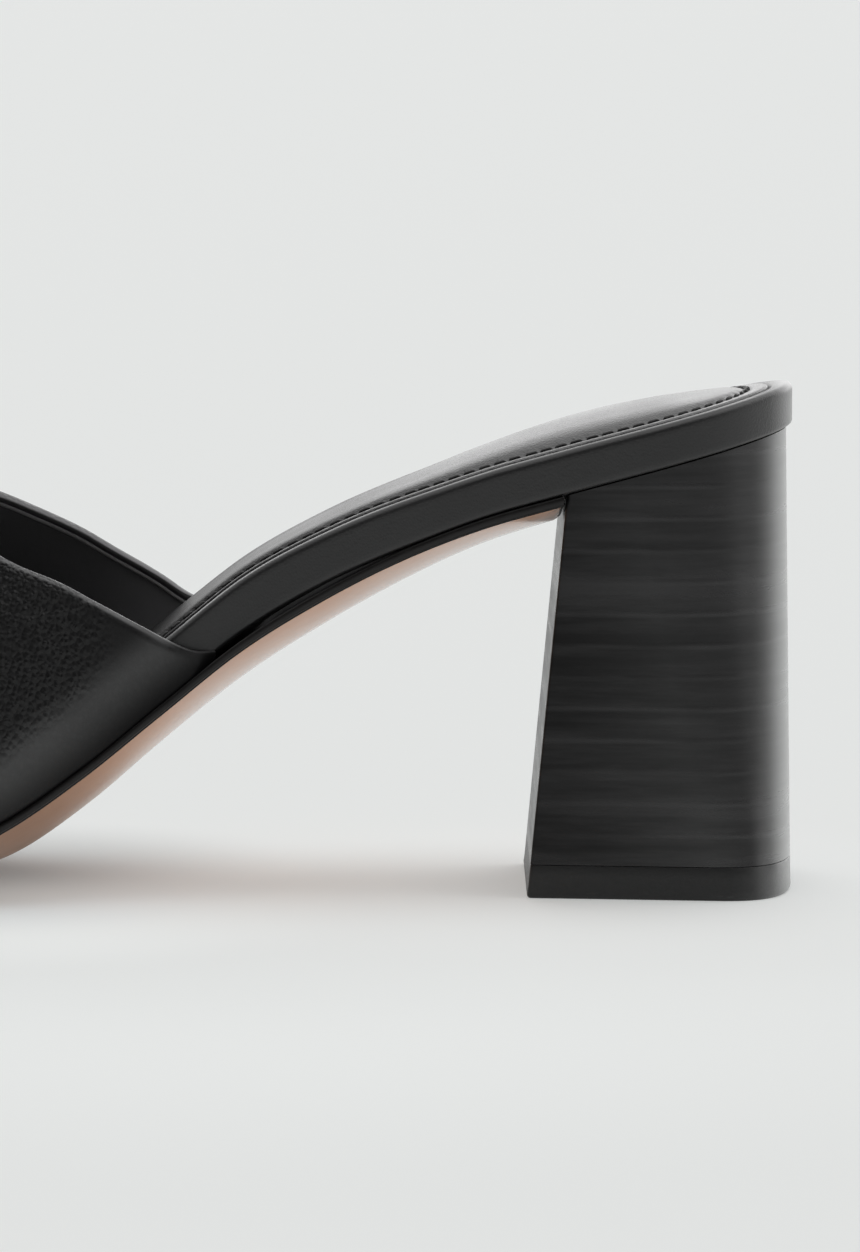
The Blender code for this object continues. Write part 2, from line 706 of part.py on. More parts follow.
def make_upper():
    """The vamp with its wings: a hollow wall, open at the throat, the heel and underneath."""
    columns = {side: upper_columns(side) for side in SIDES}
    last = THROAT_COLUMNS + TOE_COLUMNS
    shape = bmesh.new()
    outside = {}

    def key(side, i, j):
        shared = i == last or (j == UPPER_ROWS and i >= THROAT_COLUMNS)
        return (LATERAL if shared else side, i, j)

    for side in SIDES:
        for i, (points, _) in enumerate(columns[side]):
            for j, point in enumerate(points):
                name = key(side, i, j)
                if name not in outside:
                    outside[name] = new_vertex(shape, point)

    def quad(*corners):
        distinct = list(dict.fromkeys(corners))
        if len(distinct) > 2:
            shape.faces.new(distinct)

    for side in SIDES:
        for i in range(last):
            for j in range(UPPER_ROWS):
                corners = [outside[key(side, a, b)] for a, b in ((i, j), (i + 1, j), (i + 1, j + 1), (i, j + 1))]
                quad(*(corners if side == LATERAL else corners[::-1]))
    shape.normal_update()
    outward = 1.0
    probe = outside[(LATERAL, THROAT_COLUMNS // 2, UPPER_ROWS // 2)]
    if probe.normal.y > 0:
        outward = -1.0
    normals = {name: vertex.normal.copy() * outward for name, vertex in outside.items()}

    inside = {}
    for name, vertex in outside.items():
        _, i, j = name
        wall = mix(MARGIN_WALL, UPPER_WALL, min(j / WALL_ROWS, 1.0))
        wall = mix(TIP_WALL, wall, min(i / TIP_COLUMNS, 1.0))
        direction = Vector((0.0, 0.0, 1.0)) if j == 0 else -normals[name]
        inside[name] = shape.verts.new(vertex.co + direction * wall)

    rim = {}
    for side in SIDES:
        for i in range(THROAT_COLUMNS + 1):
            name = key(side, i, UPPER_ROWS)
            if name in rim:
                continue
            if i == THROAT_COLUMNS:
                before = outside[key(LATERAL, i - 1, UPPER_ROWS)].co
                after = outside[key(MEDIAL, i - 1, UPPER_ROWS)].co
            else:
                before = outside[key(side, max(i - 1, 0), UPPER_ROWS)].co
                after = outside[key(side, i + 1, UPPER_ROWS)].co
            away = (after - before).cross(normals[name]).normalized()
            body = outside[key(side, i, UPPER_ROWS - 1)].co
            if away.dot(outside[name].co - body) < 0:
                away.negate()
            middle_point = (outside[name].co + inside[name].co) / 2
            rim[name] = shape.verts.new(middle_point + away * RIM_ROUND)

    ends = {}
    for side in SIDES:
        for i in range(last + 1):
            name = key(side, i, 0)
            if name not in ends:
                margin = columns[side][i][1]
                wall = mix(TIP_WALL, MARGIN_WALL, min(i / TIP_COLUMNS, 1.0))
                above = margin + Vector((0.0, 0.0, wall))
                ends[name] = (new_vertex(shape, margin), new_vertex(shape, above))

    for side in SIDES:
        for i in range(last):
            for j in range(UPPER_ROWS):
                quad(*[inside[key(side, a, b)] for a, b in ((i, j), (i, j + 1), (i + 1, j + 1), (i + 1, j))])
            here, there = key(side, i, 0), key(side, i + 1, 0)
            quad(outside[here], outside[there], ends[there][0], ends[here][0])
            quad(ends[here][0], ends[there][0], ends[there][1], ends[here][1])
            quad(ends[here][1], ends[there][1], inside[there], inside[here])
            if i < THROAT_COLUMNS:
                here, there = key(side, i, UPPER_ROWS), key(side, i + 1, UPPER_ROWS)
                quad(outside[here], outside[there], rim[there], rim[here])
                quad(rim[here], rim[there], inside[there], inside[here])
        tip = [key(side, 0, j) for j in range(UPPER_ROWS + 1)]
        quad(outside[tip[0]], inside[tip[0]], ends[tip[0]][1], ends[tip[0]][0])
        for a, b in zip(tip, tip[1:]):
            quad(outside[a], outside[b], inside[b], inside[a])
        quad(outside[tip[-1]], rim[tip[-1]], inside[tip[-1]])
    return finish_object("upper", shape, new_material("upper_leather", (0.03, 0.03, 0.03), 0.45))


def stand_on_origin(pieces):
    """Moves the shoe so that the middle of its box is over the origin and its tread on z = 0."""
    corners = [vertex.co for piece in pieces for vertex in piece.data.vertices]
    low = [min(corner[axis] for corner in corners) for axis in range(3)]
    high = [max(corner[axis] for corner in corners) for axis in range(3)]
    shift = Vector((-(low[0] + high[0]) / 2, -(low[1] + high[1]) / 2, 0.0))
    for piece in pieces:
        piece.data.transform(Matrix.Translation(shift))


def main():
    for old in list(bpy.data.objects):
        bpy.data.objects.remove(old, do_unlink=True)
    bpy.context.scene.unit_settings.system = "METRIC"
    pieces = [make_outsole(), make_board(), make_sock(), make_upper(), make_heel(), make_top_lift()]
    stand_on_origin(pieces)


main()
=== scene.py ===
"""Looks of a left mule on a high block heel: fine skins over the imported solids, leather, thread, lacquer.

A place on the shoe is written as u, v, z: u is the distance along the floor from the insole's back
towards the toe, v the distance across (negative on the outer side) and z the height. All in metres.
"""
import bisect
import math

import bmesh
import bpy
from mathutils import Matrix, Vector
from mathutils.kdtree import KDTree


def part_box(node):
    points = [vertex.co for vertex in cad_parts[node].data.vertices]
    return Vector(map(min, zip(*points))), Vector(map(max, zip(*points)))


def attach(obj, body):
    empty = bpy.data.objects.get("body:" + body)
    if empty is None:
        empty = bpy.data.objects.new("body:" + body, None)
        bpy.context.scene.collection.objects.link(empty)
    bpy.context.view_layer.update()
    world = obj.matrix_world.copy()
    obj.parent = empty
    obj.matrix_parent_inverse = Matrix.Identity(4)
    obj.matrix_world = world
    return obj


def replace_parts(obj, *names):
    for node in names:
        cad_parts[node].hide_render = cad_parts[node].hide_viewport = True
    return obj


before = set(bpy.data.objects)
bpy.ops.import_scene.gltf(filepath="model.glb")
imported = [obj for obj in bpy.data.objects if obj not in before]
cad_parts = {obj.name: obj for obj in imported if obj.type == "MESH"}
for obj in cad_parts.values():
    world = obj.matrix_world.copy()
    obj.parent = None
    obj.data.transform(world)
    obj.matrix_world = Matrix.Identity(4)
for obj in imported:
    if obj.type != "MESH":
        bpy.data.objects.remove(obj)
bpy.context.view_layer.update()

# Main sizes, in metres
LENGTH = 0.228  # insole, from its back to the toe, along the floor
HEEL_HEIGHT = 0.0765  # floor to the underside of the insole at its back
SEAT_WIDTH = 0.054  # insole across the heel seat
WAIST_WIDTH = 0.0466  # insole across its narrowest place
BALL_WIDTH = 0.0774  # sole across the ball of the foot
INSTEP_HEIGHT = 0.070  # floor to the upper's edge at the middle of the throat
TOE_HEIGHT = 0.0285  # floor to the top of the toe box
TOE_SPRING = 0.0072  # how far the sole's edge rises from the ball to the toe
TOE_TIP_SHIFT = 0.005  # how far the toe's tip lies to the inner side

# Thicknesses and small sizes
OUTSOLE = 0.0026  # outsole in the middle
OUTSOLE_EDGE = 0.0016  # outsole at its trimmed edge
BELLY = 0.0066  # how far the sole's underside bows down between its edges
TREAD_FLAT = 0.0004  # depth worn and pressed flat under the ball
BOARD_WALL = 0.007  # side wall of the wrapped insole at the heel
BOARD_WAIST = 0.0076  # the same under the arch of the foot
BOARD_FORE = 0.0032  # insole under the foot's ball and toes
BOARD_ROUND = 0.0013  # rounding of the insole's top edge
RIM_BAND = 0.0035  # leather rim of the insole around the sock
SOCK_SINK = 0.0011  # depth of the seat that the sock lies in
SOCK_SWELL = 0.0004  # sock above the rim
HEEL_PAD = 0.003  # crown of the pad under the heel
UPPER_WALL = 0.002  # upper with its lining
MARGIN_WALL = 0.0016  # edge of the upper, thinned, turned in under the insole
MARGIN_WIDTH = 0.009  # how far that edge reaches in from the sole's edge
UPPER_BULGE = 0.005  # how far the upper stands out past its lower edge at the ball
TOE_BULGE = 0.0024  # the same at the toe
TIP_BULGE = 0.0006  # the same at the wing tips
BULGE_HEIGHT = 0.010  # height at which the upper is widest
TIP_WALL = 0.0009  # upper at the wing tips
TIP_RISE = 0.0011  # height of the wing tips
FEATHER_INSET = 0.0008  # lower edge of the upper, in from the sole's edge
UPPER_SEAT_STEP = 0.0026  # how far the insole steps in where the upper goes round it
RIM_ROUND = 0.00028  # rounding of the upper's folded edge
BOARD_FOOT = 0.0006  # rounding of the insole's lower edge
SEAT_SLOPE = 0.0002  # slope of the side of the sock's seat
SOCK_ROUND = 0.0007  # rounding of the sock's edge
STITCH_INSET = 0.0035  # stitching, in from the sock's edge
TOE_SPINE_END = 0.030  # middle line of the soles ends this far from the toe's tip
TOE_FAN = 1.45  # how the upper's columns gather round the toe box

# Heel
HEEL_INSET = 0.001  # heel in from the insole's edge at the seat
BREAST_SEAT = 0.0378  # heel's front face, from the insole's back, at the seat
BREAST_FLOOR = 0.0442  # the same at the floor
HEEL_FLOOR_BACK = 0.0001  # heel's back at the floor, from the insole's back
HEEL_FLOOR_WIDTH = 0.053  # heel at the floor, at its widest
HEEL_FLOOR_FRONT = 0.0454  # heel at the floor, across its front face
HEEL_FLOOR_ROUND = 0.012  # length of the rounded back at the floor
TOP_LIFT = 0.0055  # wearing piece under the heel
HEEL_CORNER = 0.0008  # rounding of the heel's upright front edges

CLEARANCE = 0.0003  # space between pieces that touch

# Shares of LENGTH at which things begin or end
SLIT_START, SLIT_FULL = 0.25, 0.410  # the insole lifts off the sole to let the upper's edge in
STEP_START, STEP_FULL = 0.320, 0.402  # the insole steps in behind the wings
WAIST_START, WAIST_FULL = 0.22, 0.33  # the side wall of the insole thickens
THIN_START, THIN_FULL = 0.465, 0.555  # the insole thins out under the upper
TIP_LATERAL, TIP_MEDIAL = 0.4165, 0.408  # wing tips
BULGE_FULL = 0.61  # the upper has its full bulge from here on
THROAT = 0.662  # middle of the throat
CROWN_END = 0.957  # where the toe box turns down
TOE_START = 0.737  # widest place of the ball, where the toe's round begins

# How square each round is: 2 is an ellipse
TOE_SQUARENESS = 1.95
FLOOR_SQUARENESS = 2.7
INSTEP_SQUARENESS = 1.75
TOE_BOX_SQUARENESS = 2.15

# Sole outline: share of LENGTH, width that the row follows, outer and inner half as shares of it
OUTLINE = (
    (0.1184, SEAT_WIDTH, 0.500, 0.500),
    (0.171, SEAT_WIDTH, 0.485, 0.470),
    (0.250, WAIST_WIDTH, 0.546, 0.497),
    (0.340, WAIST_WIDTH, 0.540, 0.460),
    (0.400, WAIST_WIDTH, 0.573, 0.470),
    (0.456, BALL_WIDTH, 0.374, 0.312),
    (0.513, BALL_WIDTH, 0.414, 0.370),
    (0.570, BALL_WIDTH, 0.451, 0.428),
    (0.636, BALL_WIDTH, 0.482, 0.478),
    (TOE_START, BALL_WIDTH, 0.495, 0.505),
)

# Sole from the side: share of LENGTH, rise as a share of the heel's, spring as a share of
# TOE_SPRING, belly as a share of BELLY
PROFILE = (
    (0.000, 1.000, 0.00, 0.00),
    (0.061, 0.949, 0.00, 0.20),
    (0.118, 0.902, 0.00, 0.33),
    (0.171, 0.856, 0.00, 0.41),
    (0.228, 0.803, 0.00, 0.48),
    (0.285, 0.731, 0.00, 0.63),
    (0.342, 0.638, 0.00, 0.73),
    (0.399, 0.526, 0.00, 0.79),
    (0.456, 0.382, 0.00, 0.81),
    (0.513, 0.238, 0.00, 0.94),
    (0.566, 0.124, 0.00, 0.95),
    (0.614, 0.053, 0.00, 0.73),
    (0.658, 0.014, 0.00, 0.58),
    (0.724, 0.000, 0.00, 0.48),
    (0.790, 0.000, 0.08, 0.50),
    (0.877, 0.000, 0.36, 0.43),
    (0.947, 0.000, 0.71, 0.28),
    (1.000, 0.000, 1.00, 0.00),
)
BALL_BELLY = 0.48  # the belly's share at the row of the ball

# Edge of the upper: share of the way from wing tip to throat, rise at the outer and the inner
# side as shares of the throat's rise
TOPLINE = (
    (0.00, 0.000, 0.000),
    (0.05, 0.037, 0.063),
    (0.13, 0.126, 0.158),
    (0.20, 0.213, 0.255),
    (0.34, 0.385, 0.434),
    (0.45, 0.511, 0.567),
    (0.57, 0.627, 0.694),
    (0.64, 0.694, 0.760),
    (0.80, 0.845, 0.885),
    (1.00, 1.000, 1.000),
)

# Ridge of the upper: share of the way from throat to the end of the crown, height as a share of
# the way from the toe box up to the throat
RIDGE = (
    (0.00, 1.000),
    (0.13, 0.775),
    (0.27, 0.560),
    (0.42, 0.380),
    (0.58, 0.228),
    (0.74, 0.110),
    (0.88, 0.032),
    (1.00, 0.000),
)
RIDGE_BEHIND = 0.95  # slope of the same ridge behind the throat, where the upper is open

# Pad under the heel: share of LENGTH, share of HEEL_PAD
PAD = (
    (0.000, 0.00),
    (0.045, 0.20),
    (0.105, 0.80),
    (0.165, 1.00),
    (0.225, 0.72),
    (0.280, 0.42),
    (0.350, 0.28),
    (0.450, 0.29),
    (0.600, 0.12),
    (1.000, 0.05),
)

# How finely the skins are divided
SIDE_SAMPLES = 260  # along each side of a sole
SOCK_SAMPLES = 820  # along each side of the sock, which shows its stitching
THROAT_COLUMNS = 96  # along each wing of the upper
TOE_COLUMNS = 80  # from the throat round to the toe's tip
UPPER_ROWS = 56  # from the sole up to the edge or ridge
RIM_STEPS = 8  # round the upper's folded edge
BULGE_SHARE = 0.25  # share of an arch below its widest place
END_GATHER = 0.35  # how much closer together samples are at a side's ends
DENSE = 900  # points of a side before it is divided evenly
HEEL_SIDE = 24  # divisions of each flat side of the heel
HEEL_ROUND = 110  # divisions of its rounded back
HEEL_FRONT = 36  # divisions of its front face
HEEL_CORNER_STEPS = 6  # divisions of its rounded front edges
HEEL_LEVELS = 60  # divisions of its height
EDGE_STEPS = 5  # divisions of a rounded edge
SHARPEST = 0.3  # limits how far an inset corner can run in
MERGE = 1e-7  # points nearer than this are one point

# Details that only the looks have
FOLD = 0.0006  # the upper's folded edge, as far as it counts in the distance from it
HEM = 0.0020  # that and the folded band inside it, above the lining
HEM_ROLL = 0.0003  # how far that band stands out
LIP_WIDTH = 0.0009  # raised edge of the lining
LIP_HEIGHT = 0.0005  # how far it stands out
STITCH_PITCH = 0.0026  # from one stitch of the sock to the next
STITCH_LENGTH = 0.00245  # of one stitch
THREAD = 0.00033  # half of the thread's thickness
STITCH_SLANT = -0.26  # turn of each stitch off its line, in radians
CHANNEL_DEPTH = 0.00045  # how far the stitching pulls the sock's cover down
CHANNEL_WIDTH = 0.00075  # reach of that pull to each side
PUFF = 0.0005  # how far the padding stands up beside the stitching
PUFF_RISE = 0.0022  # distance in from the stitching over which it rises
PUFF_FALL = (0.003, 0.012)  # and those between which most of it falls again
PAD_RISE = 0.0035  # distance over which the pad under the heel rises
STITCH_ROWS = 11  # divisions of a stitch along its length
STITCH_SIDES = 8  # and round it
BOARD_ROWS = 8  # divisions of the insole's side wall
LIP_STEPS = 6  # divisions round the lining's raised edge
FLOOR_REACH = 30.0  # half of the floor's width

# Rings of the outsole's underside, as shares of the way from its middle line to its edge
TREAD_SHARES = (0.1, 0.2, 0.3, 0.4, 0.5, 0.6, 0.7, 0.8, 0.88, 0.94)
# Rings of the sock's top: distances in from its edge, then shares of what is left
SOCK_DEPTHS = (0.0013, 0.0019, 0.0024, 0.0028, 0.0031, 0.0033, 0.0035, 0.0037, 0.0039, 0.0042, 0.0046,
               0.0051, 0.0058, 0.0067, 0.0080, 0.0096)
SOCK_SHARES = (0.86, 0.72, 0.58, 0.44, 0.3, 0.15, 0.0)

# Details of the sole, the heel and the upper's edge
LAYER = 0.0052  # height of one layer of the stacked heel
PAINT_WRAP = 0.0001  # how far the sole's edge paint reaches under it
EDGE_DOME = 0.0005  # how far the sole's painted edge is rounded
EDGE_ROWS = 8  # divisions of that round
WALL_ROWS = 8  # rows over which the upper reaches its full wall
TIP_COLUMNS = 12  # columns over which the wing tip does
RIM_LIP = 0.0004  # rounding of the rim's edge round the sock's seat
ROW_GATHER = 1.6  # how much closer the rows are at the upper's edge
EDGE_FILL = 6  # points between two columns of the upper's edge
ROLL_WIDTH = 0.0017  # the leather rolls inwards this close to its folded edge
ROLL_DEPTH = 0.0006  # and by this much
TUCK_LENGTH = 0.0052  # the wing tips turn in under the insole over this length
TUCK_DEPTH = 0.0016  # and by this much
SEAM = 0.00006  # hairline between the heel and its wearing piece
LIFT_ROUND = 0.0006  # rounding of the top lift's lower edge
SLIT_DEPTH = 0.0016  # depth of the insole's slit behind the wings, where it is only a seam
SLIT_OPEN = 0.375  # share of LENGTH from which it deepens to take the upper's edge
LIP_SUNK = 0.00012  # how far the lining's edge is set into the surface

# Leather
PEBBLE = 0.00078  # size of the upper's pebbles
PEBBLE_DEPTH = 0.00032  # their relief
PEBBLE_END, PEBBLE_FULL = 0.004, -0.006  # pebbles fade out between these X, along a leaning line
PEBBLE_LEAN = 1.33  # how much that line leans
PEBBLE_LEVEL = 0.036  # height at which it crosses those X
PEBBLE_SMOOTH = 0.006  # and they are flat from this X
PEBBLE_WARP = 0.0007  # how uneven they are
GRAIN = 0.00042  # size of the smooth leathers' grain
BALL_SHADE = 0.5  # how dark the sole is painted from the ball forward: painted shade beside the floor's shadow under the ball

# Soft folds of the upper: u, z, half length, half width, turn in radians, height (out is positive)
OUTER_FOLDS = (
    (0.135, 0.040, 0.022, 0.006, 0.9, -0.00025),
    (0.122, 0.030, 0.018, 0.005, 0.5, 0.00018),
    (0.150, 0.022, 0.020, 0.007, 0.3, -0.00022),
    (0.160, 0.045, 0.018, 0.006, -0.5, 0.00020),
)
INNER_FOLDS = (
    (0.140, 0.048, 0.020, 0.005, 0.9, -0.00028),
    (0.128, 0.038, 0.016, 0.004, 0.6, 0.00022),
    (0.155, 0.030, 0.020, 0.006, 0.2, -0.00025),
)

# Colours and light
UPPER_COLOUR = (0.0065, 0.0063, 0.0067)
BAND_HIGHLIGHT = (0.10, 0.098, 0.101)       # the upper's folded edge and the band inside it, far paler than the leather: painted highlight
FOLD_HIGHLIGHT = (0.15, 0.148, 0.15)        # crest of that edge, from the throat to the wings, paler still: painted highlight
# Lining: well above black leather's own colour, as painted fill light in the shaded inside, and paler
# towards the back as painted light
LINING_FRONT, LINING_BACK = (0.13, 0.128, 0.133), (0.20, 0.197, 0.205)
LIP_COLOUR = (0.45, 0.445, 0.45)         # the lining's cut edge: partly its own paler colour, partly a painted highlight
INSOLE_COLOUR = (0.014, 0.0137, 0.014)
SOCK_COLOUR = (0.022, 0.0215, 0.022)
THREAD_COLOUR = (0.006, 0.006, 0.006)
PAINT_COLOUR = (0.010, 0.009, 0.0088)
RUBBER_COLOUR, RUBBER_WORN = (0.014, 0.014, 0.014), (0.05, 0.05, 0.05)
SOLE_COLOUR = (0.58, 0.245, 0.085)
HEEL_COLOUR = (0.012, 0.0115, 0.012)
FLOOR_COLOUR = (0.655, 0.667, 0.66)
FLOOR_TINT = (0.63, 0.667, 0.685)  # floor under the ball, against the sole's warm reflection
FLOOR_TINT_PLACE = (-0.02, -0.01, 0.0)
LIGHT_COLOUR = (1.0, 1.0, 1.0, 1.0)
LOW_LIGHT, DARK_LIGHT = 0.34, 0.03  # at the camera's side, at its height and above it
TOP_LIGHT, TOP_FROM, TOP_FULL = 1.12, 0.50, 0.95
TOP_LEAN = 0.25  # how much more the light comes from behind than from the camera's side
BACK_LIGHT, BACK_FROM, BACK_FULL = 1.9, 0.52, 0.80
LOW_HEIGHTS = (0.08, 0.30)  # the camera's side grows dark between these heights
BACK_RISE, BACK_FALL = (0.04, 0.20), (0.32, 0.58)  # the back's light grows and fades between these
LEAST_LIGHT = 0.02
FLOOR_GLOW = 0.28  # glow painted into the floor, which lightens the shadows on it and lights the shoe a little from below
# Painted shadow and light in that glow, weaker under the ball and stronger in front of the shoe and round
# the heel: centre, distances between which the change fades, change
FLOOR_SHADE_SPOTS = (
    ((-0.02, 0.03, 0.0), 0.012, 0.055, -0.21),
    ((-0.02, -0.045, 0.0), 0.02, 0.07, 0.12),
    ((0.03, -0.12, 0.0), 0.04, 0.20, 0.09),
    ((0.085, -0.01, 0.0), 0.03, 0.10, 0.08),
)
# Azimuth from the camera's side towards the heel, height, half width, soft edge (degrees), gain
SOFT_BOXES = (
    (92.0, 44.0, 26.0, 12.0, 0.8),
    (0.0, 74.0, 14.0, 8.0, 0.6),
    (90.0, 8.0, 14.0, 6.0, 0.4),
)

# Camera
SENSOR = 36.0  # its height, in millimetres
VIEW_LENGTH = 218.3  # focal length, in millimetres
VIEW_U = 0.06009
VIEW_DISTANCE = 1.258
VIEW_HEIGHT = 0.16313
VIEW_DOWN = 5.467  # degrees below level

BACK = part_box("insole_board")[1].x
LIFT_LOW, LIFT_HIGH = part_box("top_lift")
MID = (LIFT_LOW.y + LIFT_HIGH.y) / 2
LATERAL, MEDIAL = -1, 1


def new_vertex(shape, point):
    return shape.verts.new((BACK - point[0], MID + point[1], point[2]))


def curve(rows, column, flat_ends=False):
    """A smooth function through one column of a table, against the table's first column."""
    xs = [row[0] for row in rows]
    ys = [row[column] for row in rows]
    slopes = [(ys[i + 1] - ys[i]) / (xs[i + 1] - xs[i]) for i in range(len(xs) - 1)]
    tangents = [slopes[0]]
    for i in range(1, len(xs) - 1):
        before, after = xs[i] - xs[i - 1], xs[i + 1] - xs[i]
        tangents.append((slopes[i - 1] * after + slopes[i] * before) / (before + after))
    tangents.append(slopes[-1])
    if flat_ends:
        tangents[0] = tangents[-1] = 0.0

    def value(x):
        x = min(max(x, xs[0]), xs[-1])
        i = max(k for k in range(len(xs) - 1) if xs[k] <= x)
        step = xs[i + 1] - xs[i]
        t = (x - xs[i]) / step
        start = (1 + 2 * t) * (1 - t) ** 2 * ys[i] + t * (1 - t) ** 2 * step * tangents[i]
        end = t * t * (3 - 2 * t) * ys[i + 1] + t * t * (t - 1) * step * tangents[i + 1]
        return start + end

    return value


def mix(a, b, share):
    return a + (b - a) * share


def ease(x, start, end):
    """0 before start, 1 after end and a smooth rise between them."""
    t = min(max((x - start) / (end - start), 0.0), 1.0)
    return t * t * (3 - 2 * t)


OUTLINE_METRES = [(along, width * outer, width * inner) for along, width, outer, inner in OUTLINE]
outer_half = curve(OUTLINE_METRES, 1, flat_ends=True)
inner_half = curve(OUTLINE_METRES, 2, flat_ends=True)
rise = curve(PROFILE, 1)
spring = curve(PROFILE, 2)
belly = curve(PROFILE, 3)
outer_edge = curve(TOPLINE, 1)
inner_edge = curve(TOPLINE, 2)
ridge_share = curve(RIDGE, 1)
pad_share = curve(PAD, 1)

SEAT_RADIUS = SEAT_WIDTH / 2
HEEL_CENTRE = 0.8 * SEAT_RADIUS
BALL_EDGE = OUTSOLE + BALL_BELLY * BELLY - TREAD_FLAT
SLIT = MARGIN_WALL + 2 * CLEARANCE
SOCK_INSET = RIM_BAND + SEAT_SLOPE + CLEARANCE


def half_width(u, side):
    """Half of the sole's width at u, on one side of v = 0."""
    if u < SEAT_RADIUS:
        return math.sqrt(max(SEAT_RADIUS ** 2 - (SEAT_RADIUS - u) ** 2, 0.0))
    half = outer_half if side == LATERAL else inner_half
    if u <= TOE_START * LENGTH:
        return half(u / LENGTH)
    toe = min((u / LENGTH - TOE_START) / (1 - TOE_START), 1.0)
    shrink = (1 - toe ** TOE_SQUARENESS) ** (1 / TOE_SQUARENESS)
    tip = side * TOE_TIP_SHIFT
    return tip + (half(TOE_START) - tip) * shrink


def across(u, v):
    """How far v is out from the sole's middle line, as a share of the half-width there."""
    side = LATERAL if v < middle(u) else MEDIAL
    reach = abs(side * half_width(u, side) - middle(u))
    return min(abs(v - middle(u)) / max(reach, 1e-4), 1.0)


def middle(u):
    return (half_width(u, MEDIAL) - half_width(u, LATERAL)) / 2


def edge_height(u):
    """Top of the outsole at its edge."""
    share = u / LENGTH
    return BALL_EDGE + rise(share) * (HEEL_HEIGHT - BALL_EDGE) + spring(share) * TOE_SPRING


def sole_top(u, v):
    """Top of the outsole, which the insole and the heel follow."""
    return edge_height(u) - BELLY * belly(u / LENGTH) * (1 - across(u, v) ** 2)


def sole_under(u, v):
    """Underside of the outsole, flat where the ball presses on the floor."""
    thickness = mix(OUTSOLE, OUTSOLE_EDGE, across(u, v) ** 2)
    return max(sole_top(u, v) - thickness, 0.0)


def slit(u):
    """Space between outsole and insole at their edges, which the upper's edge fills."""
    return mix(CLEARANCE, SLIT, ease(u / LENGTH, SLIT_START, SLIT_FULL))


def board_inset(u):
    """How far the insole stands in from the outsole's edge."""
    return UPPER_SEAT_STEP * ease(u / LENGTH, STEP_START, STEP_FULL)


def board_top(u):
    wall = mix(BOARD_WALL, BOARD_WAIST, ease(u / LENGTH, WAIST_START, WAIST_FULL))
    thin = mix(wall, BOARD_FORE, ease(u / LENGTH, THIN_START, THIN_FULL))
    return edge_height(u) + slit(u) + thin


def breast(z):
    """Place u of the heel's front face at a height."""
    return mix(BREAST_FLOOR, BREAST_SEAT, z / edge_height(BREAST_SEAT))


def dense_side(side):
    """Many points along one side of the sole, from the back round to the toe's tip."""
    points = []
    for i in range(DENSE + 1):
        turn = math.pi / 2 * i / DENSE
        points.append(SEAT_RADIUS * (1 - math.cos(turn)))
    straight = TOE_START * LENGTH - SEAT_RADIUS
    points += [SEAT_RADIUS + straight * i / DENSE for i in range(1, DENSE)]
    toe_run = (1 - TOE_START) * LENGTH
    for i in range(DENSE + 1):
        turn = math.pi / 2 * i / DENSE
        points.append(TOE_START * LENGTH + toe_run * math.sin(turn) ** (2 / TOE_SQUARENESS))
    return [Vector((u, side * half_width(u, side))) for u in points]


def lengths_along(points):
    total = [0.0]
    for a, b in zip(points, points[1:]):
        total.append(total[-1] + (b - a).length)
    return total


def at_length(points, lengths, wanted):
    """The point at a distance along a line of points."""
    i = min(max(bisect.bisect_left(lengths, wanted), 1), len(points) - 1)
    share = (wanted - lengths[i - 1]) / max(lengths[i] - lengths[i - 1], 1e-9)
    return points[i - 1].lerp(points[i], min(max(share, 0.0), 1.0))


def length_at(points, lengths, u):
    """The distance along a side at which it reaches u."""
    i = min(max(bisect.bisect_left(points, u, key=lambda point: point.x), 1), len(points) - 1)
    share = (u - points[i - 1].x) / max(points[i].x - points[i - 1].x, 1e-9)
    return mix(lengths[i - 1], lengths[i], min(max(share, 0.0), 1.0))


SIDES = {side: dense_side(side) for side in (LATERAL, MEDIAL)}
SIDE_LENGTHS = {side: lengths_along(SIDES[side]) for side in SIDES}


def side_samples(side, start_u, count):
    """Points along one side from start_u to the toe's tip, closer together at both ends."""
    points, lengths = SIDES[side], SIDE_LENGTHS[side]
    start = length_at(points, lengths, start_u)
    samples = []
    for i in range(count + 1):
        share = i / count
        share = mix(share, (1 - math.cos(math.pi * share)) / 2, END_GATHER)
        samples.append(at_length(points, lengths, mix(start, lengths[-1], share)))
    return samples


def offset_loop(loop, distances):
    """Moves a closed line of points inwards, each by its own distance."""
    moved = []
    for i, point in enumerate(loop):
        before = (point - loop[i - 1]).normalized()
        after = (loop[(i + 1) % len(loop)] - point).normalized()
        in_before = Vector((-before.y, before.x))
        in_after = Vector((-after.y, after.x))
        bisector = (in_before + in_after).normalized()
        moved.append(point + bisector * distances[i] / max(bisector.dot(in_before), SHARPEST))
    return moved


class Value:
    """One output of a node, which can be reckoned with as a number is."""

    def __init__(self, output):
        self.output = output
        self.tree = output.id_data

    def __add__(self, other):
        return maths(self.tree, "ADD", self, other)

    def __sub__(self, other):
        return maths(self.tree, "SUBTRACT", self, other)

    def __rsub__(self, other):
        return maths(self.tree, "SUBTRACT", other, self)

    def __mul__(self, other):
        return maths(self.tree, "MULTIPLY", self, other)

    def __truediv__(self, other):
        return maths(self.tree, "DIVIDE", self, other)

    def span(self, low, high, start=0.0, end=1.0):
        """The value mapped smoothly from low..high to start..end."""
        return node(self.tree, "MapRange", "Result", {
            "Value": self, "From Min": low, "From Max": high, "To Min": start, "To Max": end,
        }, interpolation_type="SMOOTHSTEP")


def fill(tree, made, values):
    """Sets a node's sockets, each to a number, a colour or another node's output."""
    for socket, value in values.items():
        if isinstance(value, Value):
            tree.links.new(value.output, made.inputs[socket])
        else:
            made.inputs[socket].default_value = value


def node(tree, kind, output, values, **settings):
    """Adds a node and returns one of its outputs."""
    made = tree.nodes.new("ShaderNode" + kind)
    for setting, value in settings.items():
        setattr(made, setting, value)
    fill(tree, made, values)
    return Value(made.outputs[output])


def maths(tree, operation, a, b=0.0):
    return node(tree, "Math", "Value", {0: a, 1: b}, operation=operation)


